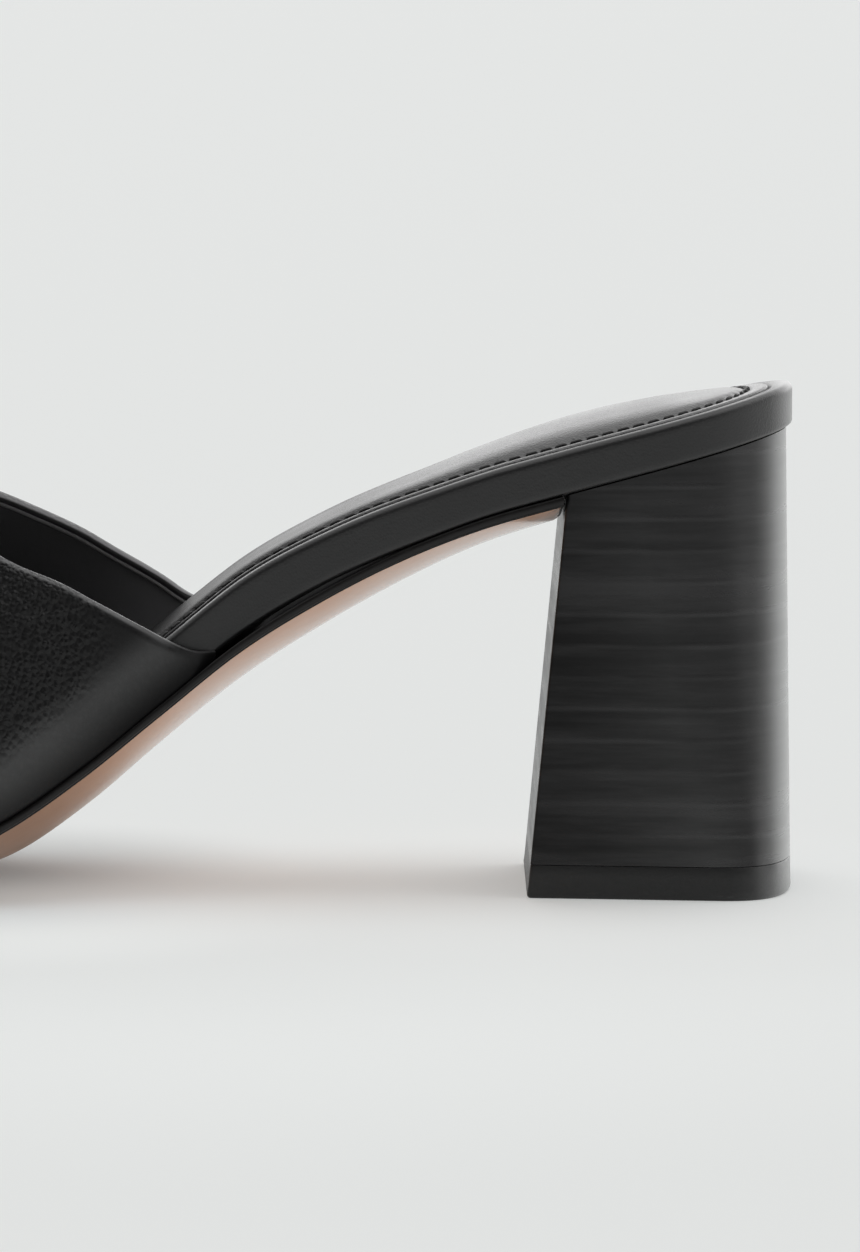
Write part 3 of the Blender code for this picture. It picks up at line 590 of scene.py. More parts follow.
def new_material(name, colour, roughness):
    """A material with a Principled shader; returns it with its tree and that shader."""
    material = bpy.data.materials.new(name)
    material.use_nodes = True
    tree = material.node_tree
    shader = tree.nodes["Principled BSDF"]
    fill(tree, shader, {"Base Color": (*colour, 1.0), "Roughness": roughness})
    return material, tree, shader


def place(tree, stretch=(1.0, 1.0, 1.0)):
    """Place on the shoe in metres, as a texture's coordinates."""
    where = node(tree, "TexCoord", "Object", {})
    return node(tree, "Mapping", "Vector", {"Vector": where, "Scale": stretch})


def noise(tree, scale, detail=3.0, roughness=0.5, stretch=(1.0, 1.0, 1.0)):
    return node(tree, "TexNoise", "Fac", {
        "Vector": place(tree, stretch), "Scale": scale, "Detail": detail, "Roughness": roughness,
    })


def bump(tree, height, distance, strength=1.0, under=None):
    values = {"Height": height, "Distance": distance, "Strength": strength}
    if under is not None:
        values["Normal"] = under
    return node(tree, "Bump", "Normal", values)


def blend(tree, share, a, b):
    """A colour between a and b; each is a colour or another node's output."""
    a, b = (end if isinstance(end, Value) else (*end, 1.0) for end in (a, b))
    return node(tree, "Mix", 2, {0: share, 6: a, 7: b}, data_type="RGBA")


def vector(tree, operation, a, b, output="Vector"):
    return node(tree, "VectorMath", output, {0: a, 1: b}, operation=operation)


def axes(tree, coordinates="Object"):
    """The place's separate X, Y and Z, in metres."""
    parts = tree.nodes.new("ShaderNodeSeparateXYZ")
    fill(tree, parts, {"Vector": node(tree, "TexCoord", coordinates, {})})
    return [Value(part) for part in parts.outputs]


def attribute(tree, name):
    return node(tree, "Attribute", "Fac", {}, attribute_name=name)


def shaded(colour, gain):
    return tuple(min(part * gain, 1.0) for part in colour)


def make_upper_leather():
    """Black leather with raised oval pebbles towards the toe; smooth lining inside; painted highlight on
    the folded edge, painted light in the lining.
    """
    material, tree, shader = new_material("upper_leather_look", (0.012, 0.0115, 0.0115), 0.42)
    x, _, z = axes(tree)
    from_edge = attribute(tree, "from_edge")
    lining = from_edge.span(HEM - 0.0001, HEM + 0.0001)
    inward = from_edge.span(-0.0001, 0.0006)

    warp = node(tree, "TexNoise", "Color", {"Vector": place(tree), "Scale": 420.0, "Detail": 2.0})
    shift = vector(tree, "MULTIPLY", warp, (PEBBLE_WARP,) * 3)
    warped = vector(tree, "ADD", place(tree, (1.0, 1.0, 0.72)), shift)
    cells = node(tree, "TexVoronoi", "Distance", {"Vector": warped, "Scale": 1 / PEBBLE})
    leaning = x - (z - PEBBLE_LEVEL) * PEBBLE_LEAN
    amount = leaning.span(PEBBLE_END, PEBBLE_FULL, 0.02, 1.0) * z.span(0.010, 0.022, 0.2, 1.0)
    amount = amount * (1.0 - inward * 0.85)

    fine = noise(tree, 2600.0, 3.0, 0.55)
    patch = noise(tree, 55.0, 2.0)
    relief = amount * x.span(PEBBLE_SMOOTH, -PEBBLE_SMOOTH)
    outer = bump(tree, 1.0 - cells * 1.15, PEBBLE_DEPTH, relief)
    outer = bump(tree, fine, 0.000018, 1.0, outer)
    outer = bump(tree, patch, 0.0005, 0.25, outer)
    inner = bump(tree, fine, 0.000012)
    inner = bump(tree, noise(tree, 70.0, 2.0), 0.0006, 0.3, inner)

    # Painted highlight: the folded edge and the band inside it are paler than the leather, the crest
    # palest, fading out before the wing tips.
    fold = from_edge.span(-0.0009, -0.0003) * from_edge.span(0.0001, 0.0005, 1.0, 0.0)
    fold = fold * x.span(0.004, 0.014, 1.0, 0.0)
    band = blend(tree, inward, UPPER_COLOUR, BAND_HIGHLIGHT)
    band = blend(tree, fold, band, FOLD_HIGHLIGHT)
    # Painted light: the lining grows paler towards the back.
    lining_colour = blend(tree, x.span(-0.004, 0.010), LINING_FRONT, LINING_BACK)
    low = attribute(tree, "above_sole").span(0.0, 0.0105, 0.08, 1.0)
    fill(tree, shader, {
        "Normal": node(tree, "Mix", 1, {0: lining, 4: outer, 5: inner}, data_type="VECTOR"),
        "Base Color": blend(tree, lining, band, lining_colour),
        "Roughness": cells.span(0.1, 0.6) * 0.12 + 0.33 + (patch - 0.5) * 0.15,
        "Specular IOR Level": (1.0 - amount * 0.70) * low,
    })
    return material


def make_smooth_leather(name, colour, roughness, speckle, speckle_from, grain, shine, coat, dull):
    """Black leather with a fine grain; specks and shine grow towards the back."""
    material, tree, shader = new_material(name, colour, roughness)
    x, _, _ = axes(tree)
    patch = noise(tree, 60.0, 2.0)
    coarse = node(tree, "TexVoronoi", "Distance", {"Vector": place(tree), "Scale": 1 / GRAIN})
    specks = noise(tree, 3800.0, 1.0).span(0.60, 0.70) * x.span(speckle_from, speckle_from + 0.02)
    facing = bump(tree, coarse, grain)
    at_back = x.span(speckle_from, speckle_from + 0.012)
    facing = bump(tree, noise(tree, 2900.0, 1.0), 0.00012, at_back, facing)
    facing = bump(tree, noise(tree, 2400.0, 3.0, 0.6), grain * 0.8, 1.0, facing)
    fill(tree, shader, {
        "Normal": bump(tree, patch, 0.0004, 0.25, facing),
        "Specular IOR Level": x.span(*shine),
        "Coat Weight": x.span(*coat),
        "Coat Roughness": 0.35,
        "Coat IOR": 1.7,
        "Roughness": (patch - 0.5) * 0.16 + roughness + x.span(*dull) + specks * 0.1,
        "Base Color": blend(tree, specks, colour, shaded(colour, speckle)),
    })
    return material


def make_sole_tan():
    """Satin tan sole leather, a little mottled and brushed along its length."""
    material, tree, shader = new_material("sole_tan_look", SOLE_COLOUR, 0.36)
    x, _, _ = axes(tree)
    streaks = noise(tree, 260.0, 4.0, 0.6, (0.12, 1.0, 1.0))
    patch = noise(tree, 45.0, 3.0)
    tan = blend(tree, streaks * 0.6 + patch * 0.4, shaded(SOLE_COLOUR, 0.86), shaded(SOLE_COLOUR, 1.1))
    facing = bump(tree, streaks, 0.00004)
    fill(tree, shader, {
        # Painted shade: the tan darkens from the ball forward, beside the floor's shadow.
        "Base Color": blend(tree, x.span(-0.015, 0.015), shaded(SOLE_COLOUR, BALL_SHADE), tan),
        "Normal": bump(tree, noise(tree, 1800.0, 2.0), 0.000012, 1.0, facing),
        "Roughness": patch.span(0.3, 0.7, 0.32, 0.42),
        "Specular IOR Level": 0.35,
        "Coat Weight": x.span(-0.015, 0.02, 0.27, 1.0),
        "Coat IOR": 1.42,
        "Coat Roughness": 0.13,
    })
    return material


def make_edge_paint():
    """Glossy black paint on the sole's edge, slightly uneven."""
    material, tree, shader = new_material("edge_paint_look", PAINT_COLOUR, 0.35)
    uneven = noise(tree, 420.0, 3.0, 0.55)
    fill(tree, shader, {
        "Normal": bump(tree, uneven, 0.00006),
        "Roughness": uneven.span(0.3, 0.7, 0.3, 0.42),
        "Specular IOR Level": 0.3,
    })
    return material


def make_heel_lacquer():
    """Black lacquer over stacked layers: thin lines between them, a little paler as a painted highlight,
    and fine level streaks.
    """
    material, tree, shader = new_material("heel_lacquer_look", HEEL_COLOUR, 0.3)
    x, _, z = axes(tree)
    wave = noise(tree, 60.0, 2.0, 0.5, (1.0, 1.0, 0.3))
    share = maths(tree, "FRACT", (z + (wave - 0.5) * 0.0004 - TOP_LIFT) / LAYER)
    line = maths(tree, "ABSOLUTE", share - 0.5).span(0.36, 0.5)
    streaks = noise(tree, 520.0, 4.0, 0.62, (0.09, 0.09, 1.0))
    bands = noise(tree, 170.0, 2.0, 0.5, (0.03, 0.03, 1.0))
    broken = noise(tree, 120.0, 2.0, 0.5, (0.35, 0.35, 1.0)).span(0.38, 0.62)
    # The layer lines lighten the colour a little: painted highlight where the joints catch the light.
    tone = streaks * 0.5 + bands * 0.5 + line * broken * 0.16
    toward_back = x.span(LIFT_LOW.x, LIFT_HIGH.x - 0.008) * 0.36
    round_back = x.span(LIFT_HIGH.x - 0.007, LIFT_HIGH.x - 0.001, 0.0, 0.9)
    facing = bump(tree, streaks, 0.000014)
    dark, pale = shaded(HEEL_COLOUR, 0.5), shaded(HEEL_COLOUR, 1.5)
    fill(tree, shader, {
        "Base Color": blend(tree, tone.span(0.36, 0.68), dark, pale),
        "Normal": bump(tree, line, 0.000018, 1.0, facing),
        "Roughness": tone.span(0.36, 0.68, 0.34, 0.26),
        "Coat Weight": x.span(LIFT_HIGH.x - 0.008, LIFT_HIGH.x - 0.001),
        "Coat Roughness": 0.3,
        "Coat IOR": 1.9,
        "Specular IOR Level": tone.span(0.30, 0.74, 0.14, 0.28) + toward_back + round_back,
    })
    return material


def make_rubber():
    """Matt black rubber with fine specks and scuffs at the wearing edge."""
    material, tree, shader = new_material("lift_rubber_look", RUBBER_COLOUR, 0.55)
    x, _, z = axes(tree)
    fine = noise(tree, 2200.0, 3.0, 0.6)
    scuffs = noise(tree, 900.0, 3.0, 0.6, (0.3, 0.3, 1.0)).span(0.55, 0.7)
    fill(tree, shader, {
        "Normal": bump(tree, fine, 0.00003),
        "Base Color": blend(tree, scuffs * z.span(0.0016, 0.0), RUBBER_COLOUR, RUBBER_WORN),
        "Roughness": fine.span(0.3, 0.7, 0.36, 0.5),
        "Specular IOR Level": x.span(LIFT_HIGH.x - 0.012, LIFT_HIGH.x - 0.002, 0.45, 1.0),
        "Coat Weight": x.span(LIFT_HIGH.x - 0.008, LIFT_HIGH.x - 0.001),
        "Coat Roughness": 0.3,
        "Coat IOR": 1.7,
    })
    return material


def make_plain(name, colour, roughness, scale, stretch=(1.0, 1.0, 1.0)):
    """One colour with a fine relief."""
    material, tree, shader = new_material(name, colour, roughness)
    relief = noise(tree, scale, 2.0, 0.5, stretch)
    fill(tree, shader, {"Normal": bump(tree, relief, 0.00002)})
    return material


def make_paper():
    """The plain pale floor with a painted glow that lightens its shadows, weaker under the ball as painted
    shadow, stronger near the heel and in front as painted light; cooler under the ball.
    """
    material, tree, shader = new_material("paper_look", FLOOR_COLOUR, 0.9)
    where = node(tree, "TexCoord", "Object", {})

    def away(centre):
        return vector(tree, "DISTANCE", where, centre, "Value")

    # Painted shadow under the ball and painted light round the shoe, in the floor's glow.
    spots = [away(centre).span(near, far, change, 0.0) for centre, near, far, change in FLOOR_SHADE_SPOTS]
    glow = spots[0] + FLOOR_GLOW
    for spot in spots[1:]:
        glow = glow + spot
    tint = away(FLOOR_TINT_PLACE).span(0.015, 0.06)
    fill(tree, shader, {
        "Specular IOR Level": 0.15,
        "Emission Color": (*FLOOR_COLOUR, 1.0),
        "Emission Strength": glow,
        "Base Color": blend(tree, tint, FLOOR_TINT, FLOOR_COLOUR),
        "Normal": bump(tree, noise(tree, 900.0, 2.0), 0.00001, 0.3),
    })
    return material


UPPER_LEATHER = make_upper_leather()
INSOLE_LEATHER = make_smooth_leather(
    "insole_leather_look", INSOLE_COLOUR, 0.4, 2.2, 0.101, 0.00002,
    shine=(LIFT_HIGH.x - 0.010, LIFT_HIGH.x - 0.001, 0.6, 1.0),
    coat=(LIFT_HIGH.x - 0.005, LIFT_HIGH.x, 0.0, 1.0), dull=(0.0, 0.1, 0.0, 0.0))
SOCK_LEATHER = make_smooth_leather(
    "sock_leather_look", SOCK_COLOUR, 0.34, 1.8, 0.03, 0.00006,
    shine=(0.012, 0.072, 0.05, 1.0), coat=(0.045, 0.085, 0.0, 0.3), dull=(0.012, 0.062, 0.08, 0.0))
SOLE_TAN = make_sole_tan()
EDGE_PAINT = make_edge_paint()
HEEL_LACQUER = make_heel_lacquer()
LIFT_RUBBER = make_rubber()
THREAD_BLACK = make_plain("thread_look", THREAD_COLOUR, 0.5, 5200.0, (1.0, 2.0, 0.5))
# Pale lining edge: partly its own colour, partly a painted highlight.
LINING_EDGE = make_plain("lining_edge_look", LIP_COLOUR, 0.35, 2600.0)
PAPER = make_paper()


def ridge(u):
    """Place across and height of the upper's ridge, also where the throat leaves it open."""
    throat, end = THROAT * LENGTH, CROWN_END * LENGTH
    sideways = middle(u) if u < end else middle(end)
    if u < throat:
        return sideways, INSTEP_HEIGHT + RIDGE_BEHIND * (throat - u)
    share = (u - throat) / (end - throat)
    return sideways, mix(TOE_HEIGHT, INSTEP_HEIGHT, ridge_share(share))


def arch_form(foot, crown, along):
    """How far an arch bulges, how square it is, its height and that of its widest place."""
    bulge = mix(TIP_BULGE, UPPER_BULGE, ease(along, TIP_MEDIAL, BULGE_FULL))
    bulge = mix(bulge, TOE_BULGE, ease(along, THROAT, 1.0))
    power = mix(INSTEP_SQUARENESS, TOE_BOX_SQUARENESS, ease(along, THROAT, 1.0))
    full = crown.z - foot.z
    return bulge, power, full, min(BULGE_HEIGHT, full / 2)


def arch(foot, crown, along, share):
    """A point of the upper's outer surface, from 0 at its foot on the sole to 1 at its crown."""
    bulge, power, full, lower = arch_form(foot, crown, along)
    outward = Vector((foot.x - crown.x, foot.y - crown.y))
    reach = outward.length
    outward.normalize()
    if share <= BULGE_SHARE:
        turn = math.pi / 2 * (share / BULGE_SHARE - 1)
        radius = reach + bulge * math.cos(turn)
        z = foot.z + lower * (1 + math.sin(turn))
    else:
        turn = math.pi / 2 * (share - BULGE_SHARE) / (1 - BULGE_SHARE)
        radius = (reach + bulge) * max(math.cos(turn), 0.0) ** (2 / power)
        z = foot.z + lower + (full - lower) * math.sin(turn) ** (2 / power)
    return Vector((crown.x + outward.x * radius, crown.y + outward.y * radius, z))


def share_at_height(foot, crown, along, height):
    """The share of an arch that reaches a height above its foot."""
    _, power, full, lower = arch_form(foot, crown, along)
    if height <= lower:
        return BULGE_SHARE * (1 + math.asin(height / lower - 1) / (math.pi / 2))
    turn = math.asin(min(max((height - lower) / (full - lower), 0.0), 1.0) ** (power / 2))
    return mix(BULGE_SHARE, 1.0, turn / (math.pi / 2))


def foot_point(side, u_or_share, past_throat):
    """Lower edge of the upper and the inner end of its turned-in edge, over the sole."""
    points, lengths = SIDES[side], SIDE_LENGTHS[side]
    if past_throat:
        throat = length_at(points, lengths, THROAT * LENGTH)
        distance = mix(throat, lengths[-1], u_or_share)
    else:
        distance = length_at(points, lengths, u_or_share)
    step = LENGTH / DENSE
    here = at_length(points, lengths, distance)
    tangent = at_length(points, lengths, distance + step) - at_length(points, lengths, distance - step)
    if past_throat and u_or_share == 1.0:
        tangent = Vector((0.0, -side))
    inward = Vector((-tangent.y, tangent.x)).normalized() * -side
    low = here + inward * FEATHER_INSET
    end = here + inward * MARGIN_WIDTH
    foot = Vector((low.x, low.y, sole_top(low.x, low.y) + CLEARANCE))
    margin = Vector((end.x, end.y, sole_top(end.x, end.y) + CLEARANCE))
    return foot, margin


def wing_arch(side, u):
    """Foot and crown of the whole arch that stands at u, which the open throat cuts short."""
    foot, _ = foot_point(side, u, False)
    sideways, height = ridge(u)
    return foot, Vector((foot.x, sideways, height))


def row_share(j):
    """Share of the way up a column of its row j; rows are closer together near the edge."""
    return 1 - (1 - j / UPPER_ROWS) ** ROW_GATHER


def wing_column(side, way):
    """Outer points from the sole to the edge of a wing, and the end of its turned-in edge."""
    tip = (TIP_LATERAL if side == LATERAL else TIP_MEDIAL) * LENGTH
    throat = THROAT * LENGTH
    edge = outer_edge if side == LATERAL else inner_edge
    foot_u = mix(tip, throat, way)
    edge_way = way + way ** 2 - way ** 3
    edge_u = mix(tip, throat, edge_way)
    top = 1.0
    if way < 1.0:
        height = mix(TIP_RISE, INSTEP_HEIGHT - edge_height(throat), edge(edge_way))
        top = share_at_height(*wing_arch(side, edge_u), edge_u / LENGTH, height)
    points = []
    for j in range(UPPER_ROWS + 1):
        share = row_share(j)
        u = mix(foot_u, edge_u, share)
        points.append(arch(*wing_arch(side, u), u / LENGTH, top * share))
    return points, foot_point(side, foot_u, False)[1]


def toe_column(side, way):
    """Outer points from the sole to the ridge past the throat, and the turned-in edge's end."""
    throat, end = THROAT * LENGTH, CROWN_END * LENGTH
    foot, margin = foot_point(side, way, True)
    u = throat + (end - throat) * (1 - (1 - way) ** TOE_FAN)
    sideways, height = ridge(u)
    crown = Vector((u, sideways, height))
    return [arch(foot, crown, u / LENGTH, row_share(j)) for j in range(UPPER_ROWS + 1)], margin


def finish_piece(name, shape, materials, sharp_degrees=40):
    """Makes a shown piece of a bmesh: merged, faces outward, smooth except at real edges."""
    bmesh.ops.remove_doubles(shape, verts=shape.verts, dist=MERGE)
    bmesh.ops.recalc_face_normals(shape, faces=shape.faces)
    mesh = bpy.data.meshes.new(name)
    shape.to_mesh(mesh)
    shape.free()
    for material in materials:
        mesh.materials.append(material)
    mesh.shade_smooth()
    mesh.set_sharp_from_angle(angle=math.radians(sharp_degrees))
    piece = bpy.data.objects.new(name, mesh)
    bpy.context.scene.collection.objects.link(piece)
    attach(piece, "root")
    return piece


def join_rings(shape, skin, slots=None):
    count = len(skin[0])
    for row, (lower, upper) in enumerate(zip(skin, skin[1:])):
        for i in range(count):
            k = (i + 1) % count
            face = shape.faces.new((lower[i], lower[k], upper[k], upper[i]))
            if slots:
                face.material_index = slots[row]


def loft(rings, slots=None):
    """A closed skin over rings of equally many points; slots gives each strip's material."""
    shape = bmesh.new()
    join_rings(shape, [[new_vertex(shape, point) for point in points] for points in rings], slots)
    return shape


def sole_loop(start_u=0.0, front=(), count=SIDE_SAMPLES):
    """A sole's edge as a closed line, outer side first, and the spine point behind each point."""
    outer = side_samples(LATERAL, start_u, count)
    inner = side_samples(MEDIAL, start_u, count)
    first, last = start_u + SEAT_RADIUS, LENGTH - TOE_SPINE_END
    spine = []
    for a, b in zip(outer, inner):
        u = min(max((a.x + b.x) / 2, first), last)
        spine.append(Vector((u, middle(u))))
    if start_u == 0.0:
        return outer + inner[-2:0:-1], spine + spine[-2:0:-1]
    return outer + inner[-2::-1] + list(front), spine + spine[-2::-1] + [spine[0]] * len(front)


def even_offset(loop, distance):
    return offset_loop(loop, [distance] * len(loop))


def inset_loop(loop, inset):
    return offset_loop(loop, [board_inset(p.x) + inset for p in loop])


def ring(loop, height):
    return [(p.x, p.y, height(p.x, p.y)) for p in loop]


def raised(loop, heights):
    return [(p.x, p.y, z) for p, z in zip(loop, heights)]


def inner_rings(loop, spine, height, shares):
    """Rings from the spine out towards a loop, which close a slab's top or underside."""
    return [ring([s.lerp(p, share) for s, p in zip(spine, loop)], height) for share in (0.0,) + shares]


def quarter(radius, steps=EDGE_STEPS):
    """Inset and drop of the points of a rounded edge, from its flat face to its side."""
    turns = [math.pi / 2 * i / steps for i in range(steps + 1)]
    return [(radius * (1 - math.sin(turn)), radius * (1 - math.cos(turn))) for turn in turns]


def make_outsole():
    """The thin sole: tan underside, black painted edge, bowed down between its edges."""
    start = BREAST_SEAT + CLEARANCE
    right = half_width(start, MEDIAL)
    width = right + half_width(start, LATERAL)
    front = [Vector((start, right - width * i / HEEL_FRONT)) for i in range(1, HEEL_FRONT)]
    loop, spine = sole_loop(start, front)
    rings = inner_rings(loop, spine, sole_under, TREAD_SHARES)
    slots = [0] * len(rings)
    rings.append(ring(even_offset(loop, EDGE_DOME + PAINT_WRAP), sole_under))
    slots.append(1)
    edge_start = len(rings)
    for k in range(EDGE_ROWS + 1):
        turn = math.pi * k / EDGE_ROWS
        share = (1 - math.cos(turn)) / 2
        heights = [mix(sole_under(p.x, p.y), sole_top(p.x, p.y), share) for p in loop]
        rings.append(raised(even_offset(loop, EDGE_DOME * (1 - math.sin(turn) ** 0.7)), heights))
        slots.append(1)
    edge_end = len(rings)
    rings += inner_rings(loop, spine, sole_top, (0.3, 0.6, 0.85))[::-1]
    slots += [1] * 4
    at_breast = [i for i, p in enumerate(loop) if p.x < start + MERGE]
    for k in range(edge_start - 1, edge_end):
        for i in at_breast:
            u, v, z = rings[k][i]
            rings[k][i] = (u - start + breast(z) + CLEARANCE, v, z)
    piece = finish_piece("outsole_skin", loft(rings, slots), [SOLE_TAN, EDGE_PAINT])
    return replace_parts(piece, "outsole")


def make_insole():
    """The wrapped insole, its side wall running into a soft rounded rim round the sock."""
    loop, spine = sole_loop()
    edge = inset_loop(loop, 0.0)
    rebate = MARGIN_WIDTH + CLEARANCE

    def from_sole_edge(distance):
        depths = []
        for p in loop:
            inset = board_inset(p.x)
            depth = mix(inset + SLIT_DEPTH, distance, ease(p.x / LENGTH, SLIT_OPEN, TIP_MEDIAL))
            depths.append(max(depth, inset + BOARD_ROUND))
        return offset_loop(loop, depths)

    def over_sole(u, v):
        return sole_top(u, v) + CLEARANCE

    def over_margin(u, v):
        return sole_top(u, v) + slit(u)

    rings = inner_rings(edge, spine, over_sole, (0.4,))
    rings.append(ring(from_sole_edge(rebate + CLEARANCE), over_sole))
    rings.append(ring(from_sole_edge(rebate), over_margin))
    for inset, drop in quarter(BOARD_FOOT, 4):
        rings.append(ring(inset_loop(loop, inset), lambda u, v: over_margin(u, v) + drop))
    for k in range(1, BOARD_ROWS):
        rings.append(ring(edge, lambda u, v: mix(
            over_margin(u, v) + BOARD_FOOT, board_top(u) - BOARD_ROUND, k / BOARD_ROWS)))
    for inset, drop in quarter(BOARD_ROUND, 6)[::-1]:
        rings.append(ring(inset_loop(loop, inset), lambda u, v: board_top(u) - drop))
    for share in (0.4, 0.8):
        inset = mix(BOARD_ROUND, RIM_BAND - RIM_LIP, share)
        rings.append(ring(inset_loop(loop, inset), lambda u, v: board_top(u)))
    for inset, drop in quarter(RIM_LIP, 3):
        rings.append(ring(inset_loop(loop, RIM_BAND - inset), lambda u, v: board_top(u) - drop))
    rings.append(ring(inset_loop(loop, RIM_BAND + SEAT_SLOPE), lambda u, v: board_top(u) - SOCK_SINK))
    rings += inner_rings(edge, spine, lambda u, v: board_top(u) - SOCK_SINK, (0.45,))[::-1]
    piece = finish_piece("insole_wrap", loft(rings), [INSOLE_LEATHER])
    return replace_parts(piece, "insole_board")


def stitch_line(loop):
    """The sock's stitch line, with the distance along it of each point, and the number of stitches."""
    line = inset_loop(loop, SOCK_INSET + STITCH_INSET)
    along = lengths_along([Vector((p.x, p.y, board_top(p.x))) for p in line + line[:1]])
    return line, along, round(along[-1] / STITCH_PITCH)


def sock_height(u, v, depth):
    """Top of the sock at a distance in from its edge, without the pull of single stitches."""
    crown = HEEL_PAD * pad_share(u / LENGTH) * (1 - across(u, v) ** 2)
    inner = max(depth - STITCH_INSET, 0.0)
    crown *= 1 - math.exp(-inner / PAD_RISE)
    puff = PUFF * ease(inner, 0.0, PUFF_RISE) * (1 - 0.8 * ease(inner, *PUFF_FALL))
    return board_top(u) + SOCK_SWELL + crown + puff


def make_sock():
    """The padded cover in the insole's seat, pulled down along its stitching."""
    loop, spine = sole_loop(count=SOCK_SAMPLES)
    _, along, stitches = stitch_line(loop)
    pull = [0.62 + 0.38 * math.cos(2 * math.pi * stitches * s / along[-1]) for s in along[:-1]]
    floor = SOCK_SINK - CLEARANCE
    edge = inset_loop(loop, SOCK_INSET)
    rings = inner_rings(edge, spine, lambda u, v: board_top(u) - floor, (0.5,))
    rings.append(ring(edge, lambda u, v: board_top(u) - floor))
    for inset, drop in quarter(SOCK_ROUND, 4)[::-1]:
        rings.append(ring(inset_loop(loop, SOCK_INSET + inset),
                          lambda u, v: board_top(u) + SOCK_SWELL - drop))
    for depth in SOCK_DEPTHS:
        off = (depth - STITCH_INSET) / CHANNEL_WIDTH
        channel = CHANNEL_DEPTH * math.exp(-off * off)
        inner = inset_loop(loop, SOCK_INSET + depth)
        rings.append(raised(inner, [sock_height(p.x, p.y, depth) - channel * tug
                                    for p, tug in zip(inner, pull)]))
    for share in SOCK_SHARES:
        depth = SOCK_DEPTHS[-1] + (1 - share) * SEAT_RADIUS
        closer = [s.lerp(p, share) for s, p in zip(spine, inner)]
        rings.append(ring(closer, lambda u, v: sock_height(u, v, depth)))
    piece = finish_piece("sock_cover", loft(rings), [SOCK_LEATHER], 60)
    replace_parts(piece, "sock")
    return piece


def make_stitches():
    """The sock's stitching: short, slightly slanted threads that dive into their holes."""
    loop, _ = sole_loop(count=SOCK_SAMPLES)
    line, along, stitches = stitch_line(loop)
    shape = bmesh.new()
    for k in range(stitches):
        i = min(bisect.bisect_left(along, (k + 0.5) * along[-1] / stitches), len(line) - 1)
        here, before = line[i % len(line)], line[(i - 2) % len(line)]
        flat = (here - before).normalized()
        cos, sin = math.cos(STITCH_SLANT), math.sin(STITCH_SLANT)
        flat = Vector((flat.x * cos - flat.y * sin, flat.x * sin + flat.y * cos))
        sideways = Vector((-flat.y, flat.x, 0.0))
        slope = (board_top(here.x + 0.001) - board_top(here.x - 0.001)) / 0.002
        direction = Vector((flat.x, flat.y, slope * flat.x)).normalized()
        up = direction.cross(sideways).normalized()
        if up.z < 0:
            up.negate()
        base = Vector((here.x, here.y, sock_height(here.x, here.y, STITCH_INSET) - CHANNEL_DEPTH * 0.4))
        tube = []
        for row in range(STITCH_ROWS):
            t = 2 * row / (STITCH_ROWS - 1) - 1
            lift = THREAD * (0.7 - 2.6 * t ** 8)
            radius = THREAD * (1 - 0.5 * abs(t) ** 6)
            centre = base + direction * (t * STITCH_LENGTH / 2) + up * lift
            turns = [2 * math.pi * s / STITCH_SIDES for s in range(STITCH_SIDES)]
            tube.append([new_vertex(shape, centre + (sideways * math.cos(a) + up * math.sin(a)) * radius)
                         for a in turns])
        join_rings(shape, tube)
        shape.faces.new(tube[0][::-1])
        shape.faces.new(tube[-1])
    return finish_piece("sock_stitching", shape, [THREAD_BLACK], 80)


def heel_loop(level, inset=0.0):
    """The heel's outline, a D with its flat face to the toe, from 0 at the floor to 1 at the seat."""
    seat_half = SEAT_RADIUS - HEEL_INSET
    back = mix(HEEL_FLOOR_BACK, HEEL_INSET, level)
    front = mix(BREAST_FLOOR, BREAST_SEAT, level)
    widest = mix(HEEL_FLOOR_WIDTH / 2, seat_half, level)
    run = mix(HEEL_FLOOR_ROUND, seat_half, level)
    power = mix(FLOOR_SQUARENESS, 2.0, level)
    points = []
    for side in (LATERAL, MEDIAL):
        seat_front = half_width(BREAST_SEAT, side) - HEEL_INSET
        corner = mix(HEEL_FLOOR_FRONT / 2, seat_front, level)
        flat = [Vector((mix(back + run, front - HEEL_CORNER, i / HEEL_SIDE),
                        side * mix(widest, corner, i / HEEL_SIDE))) for i in range(HEEL_SIDE + 1)]
        for k in range(1, HEEL_CORNER_STEPS):
            turn = math.pi / 2 * k / HEEL_CORNER_STEPS
            flat.append(Vector((front - HEEL_CORNER * (1 - math.sin(turn)),
                                side * (corner - HEEL_CORNER * (1 - math.cos(turn))))))
        face = [Vector((front, side * mix(corner - HEEL_CORNER, 0.0, i / (HEEL_FRONT / 2))))
                for i in range(HEEL_FRONT // 2)]
        points += flat + face + [Vector((front, 0.0))] if side == LATERAL else (flat + face)[::-1]
    for i in range(1, HEEL_ROUND):
        turn = math.pi * i / HEEL_ROUND
        depth = 1 - abs(math.sin(turn)) ** (2 / power)
        sideways = math.copysign(abs(math.cos(turn)) ** (2 / power), math.cos(turn))
        points.append(Vector((back + run * depth, widest * sideways)))
    return even_offset(points, inset) if inset else points


def make_heel():
    """The block heel, its edges just broken, between the top lift and the insole."""
    seat = edge_height(BREAST_SEAT)
    foot = TOP_LIFT + SEAM
    bottom = heel_loop(foot / seat)
    top = heel_loop(1.0)
    centre = [Vector((HEEL_CENTRE, 0.0))] * len(top)
    rings = [ring(line, lambda u, v: foot) for line in (centre, even_offset(bottom, 2 * SEAM))]
    for k in range(HEEL_LEVELS + 1):
        share = k / HEEL_LEVELS
        heights = [mix(foot + SEAM, sole_top(p.x, p.y) + SEAM, share) for p in top]
        rings.append(raised([low.lerp(high, share) for low, high in zip(bottom, top)], heights))
    rings.append(ring(centre, lambda u, v: sole_top(u, v) + SEAM))
    piece = finish_piece("heel_skin", loft(rings), [HEEL_LACQUER], 50)
    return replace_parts(piece, "heel_block")


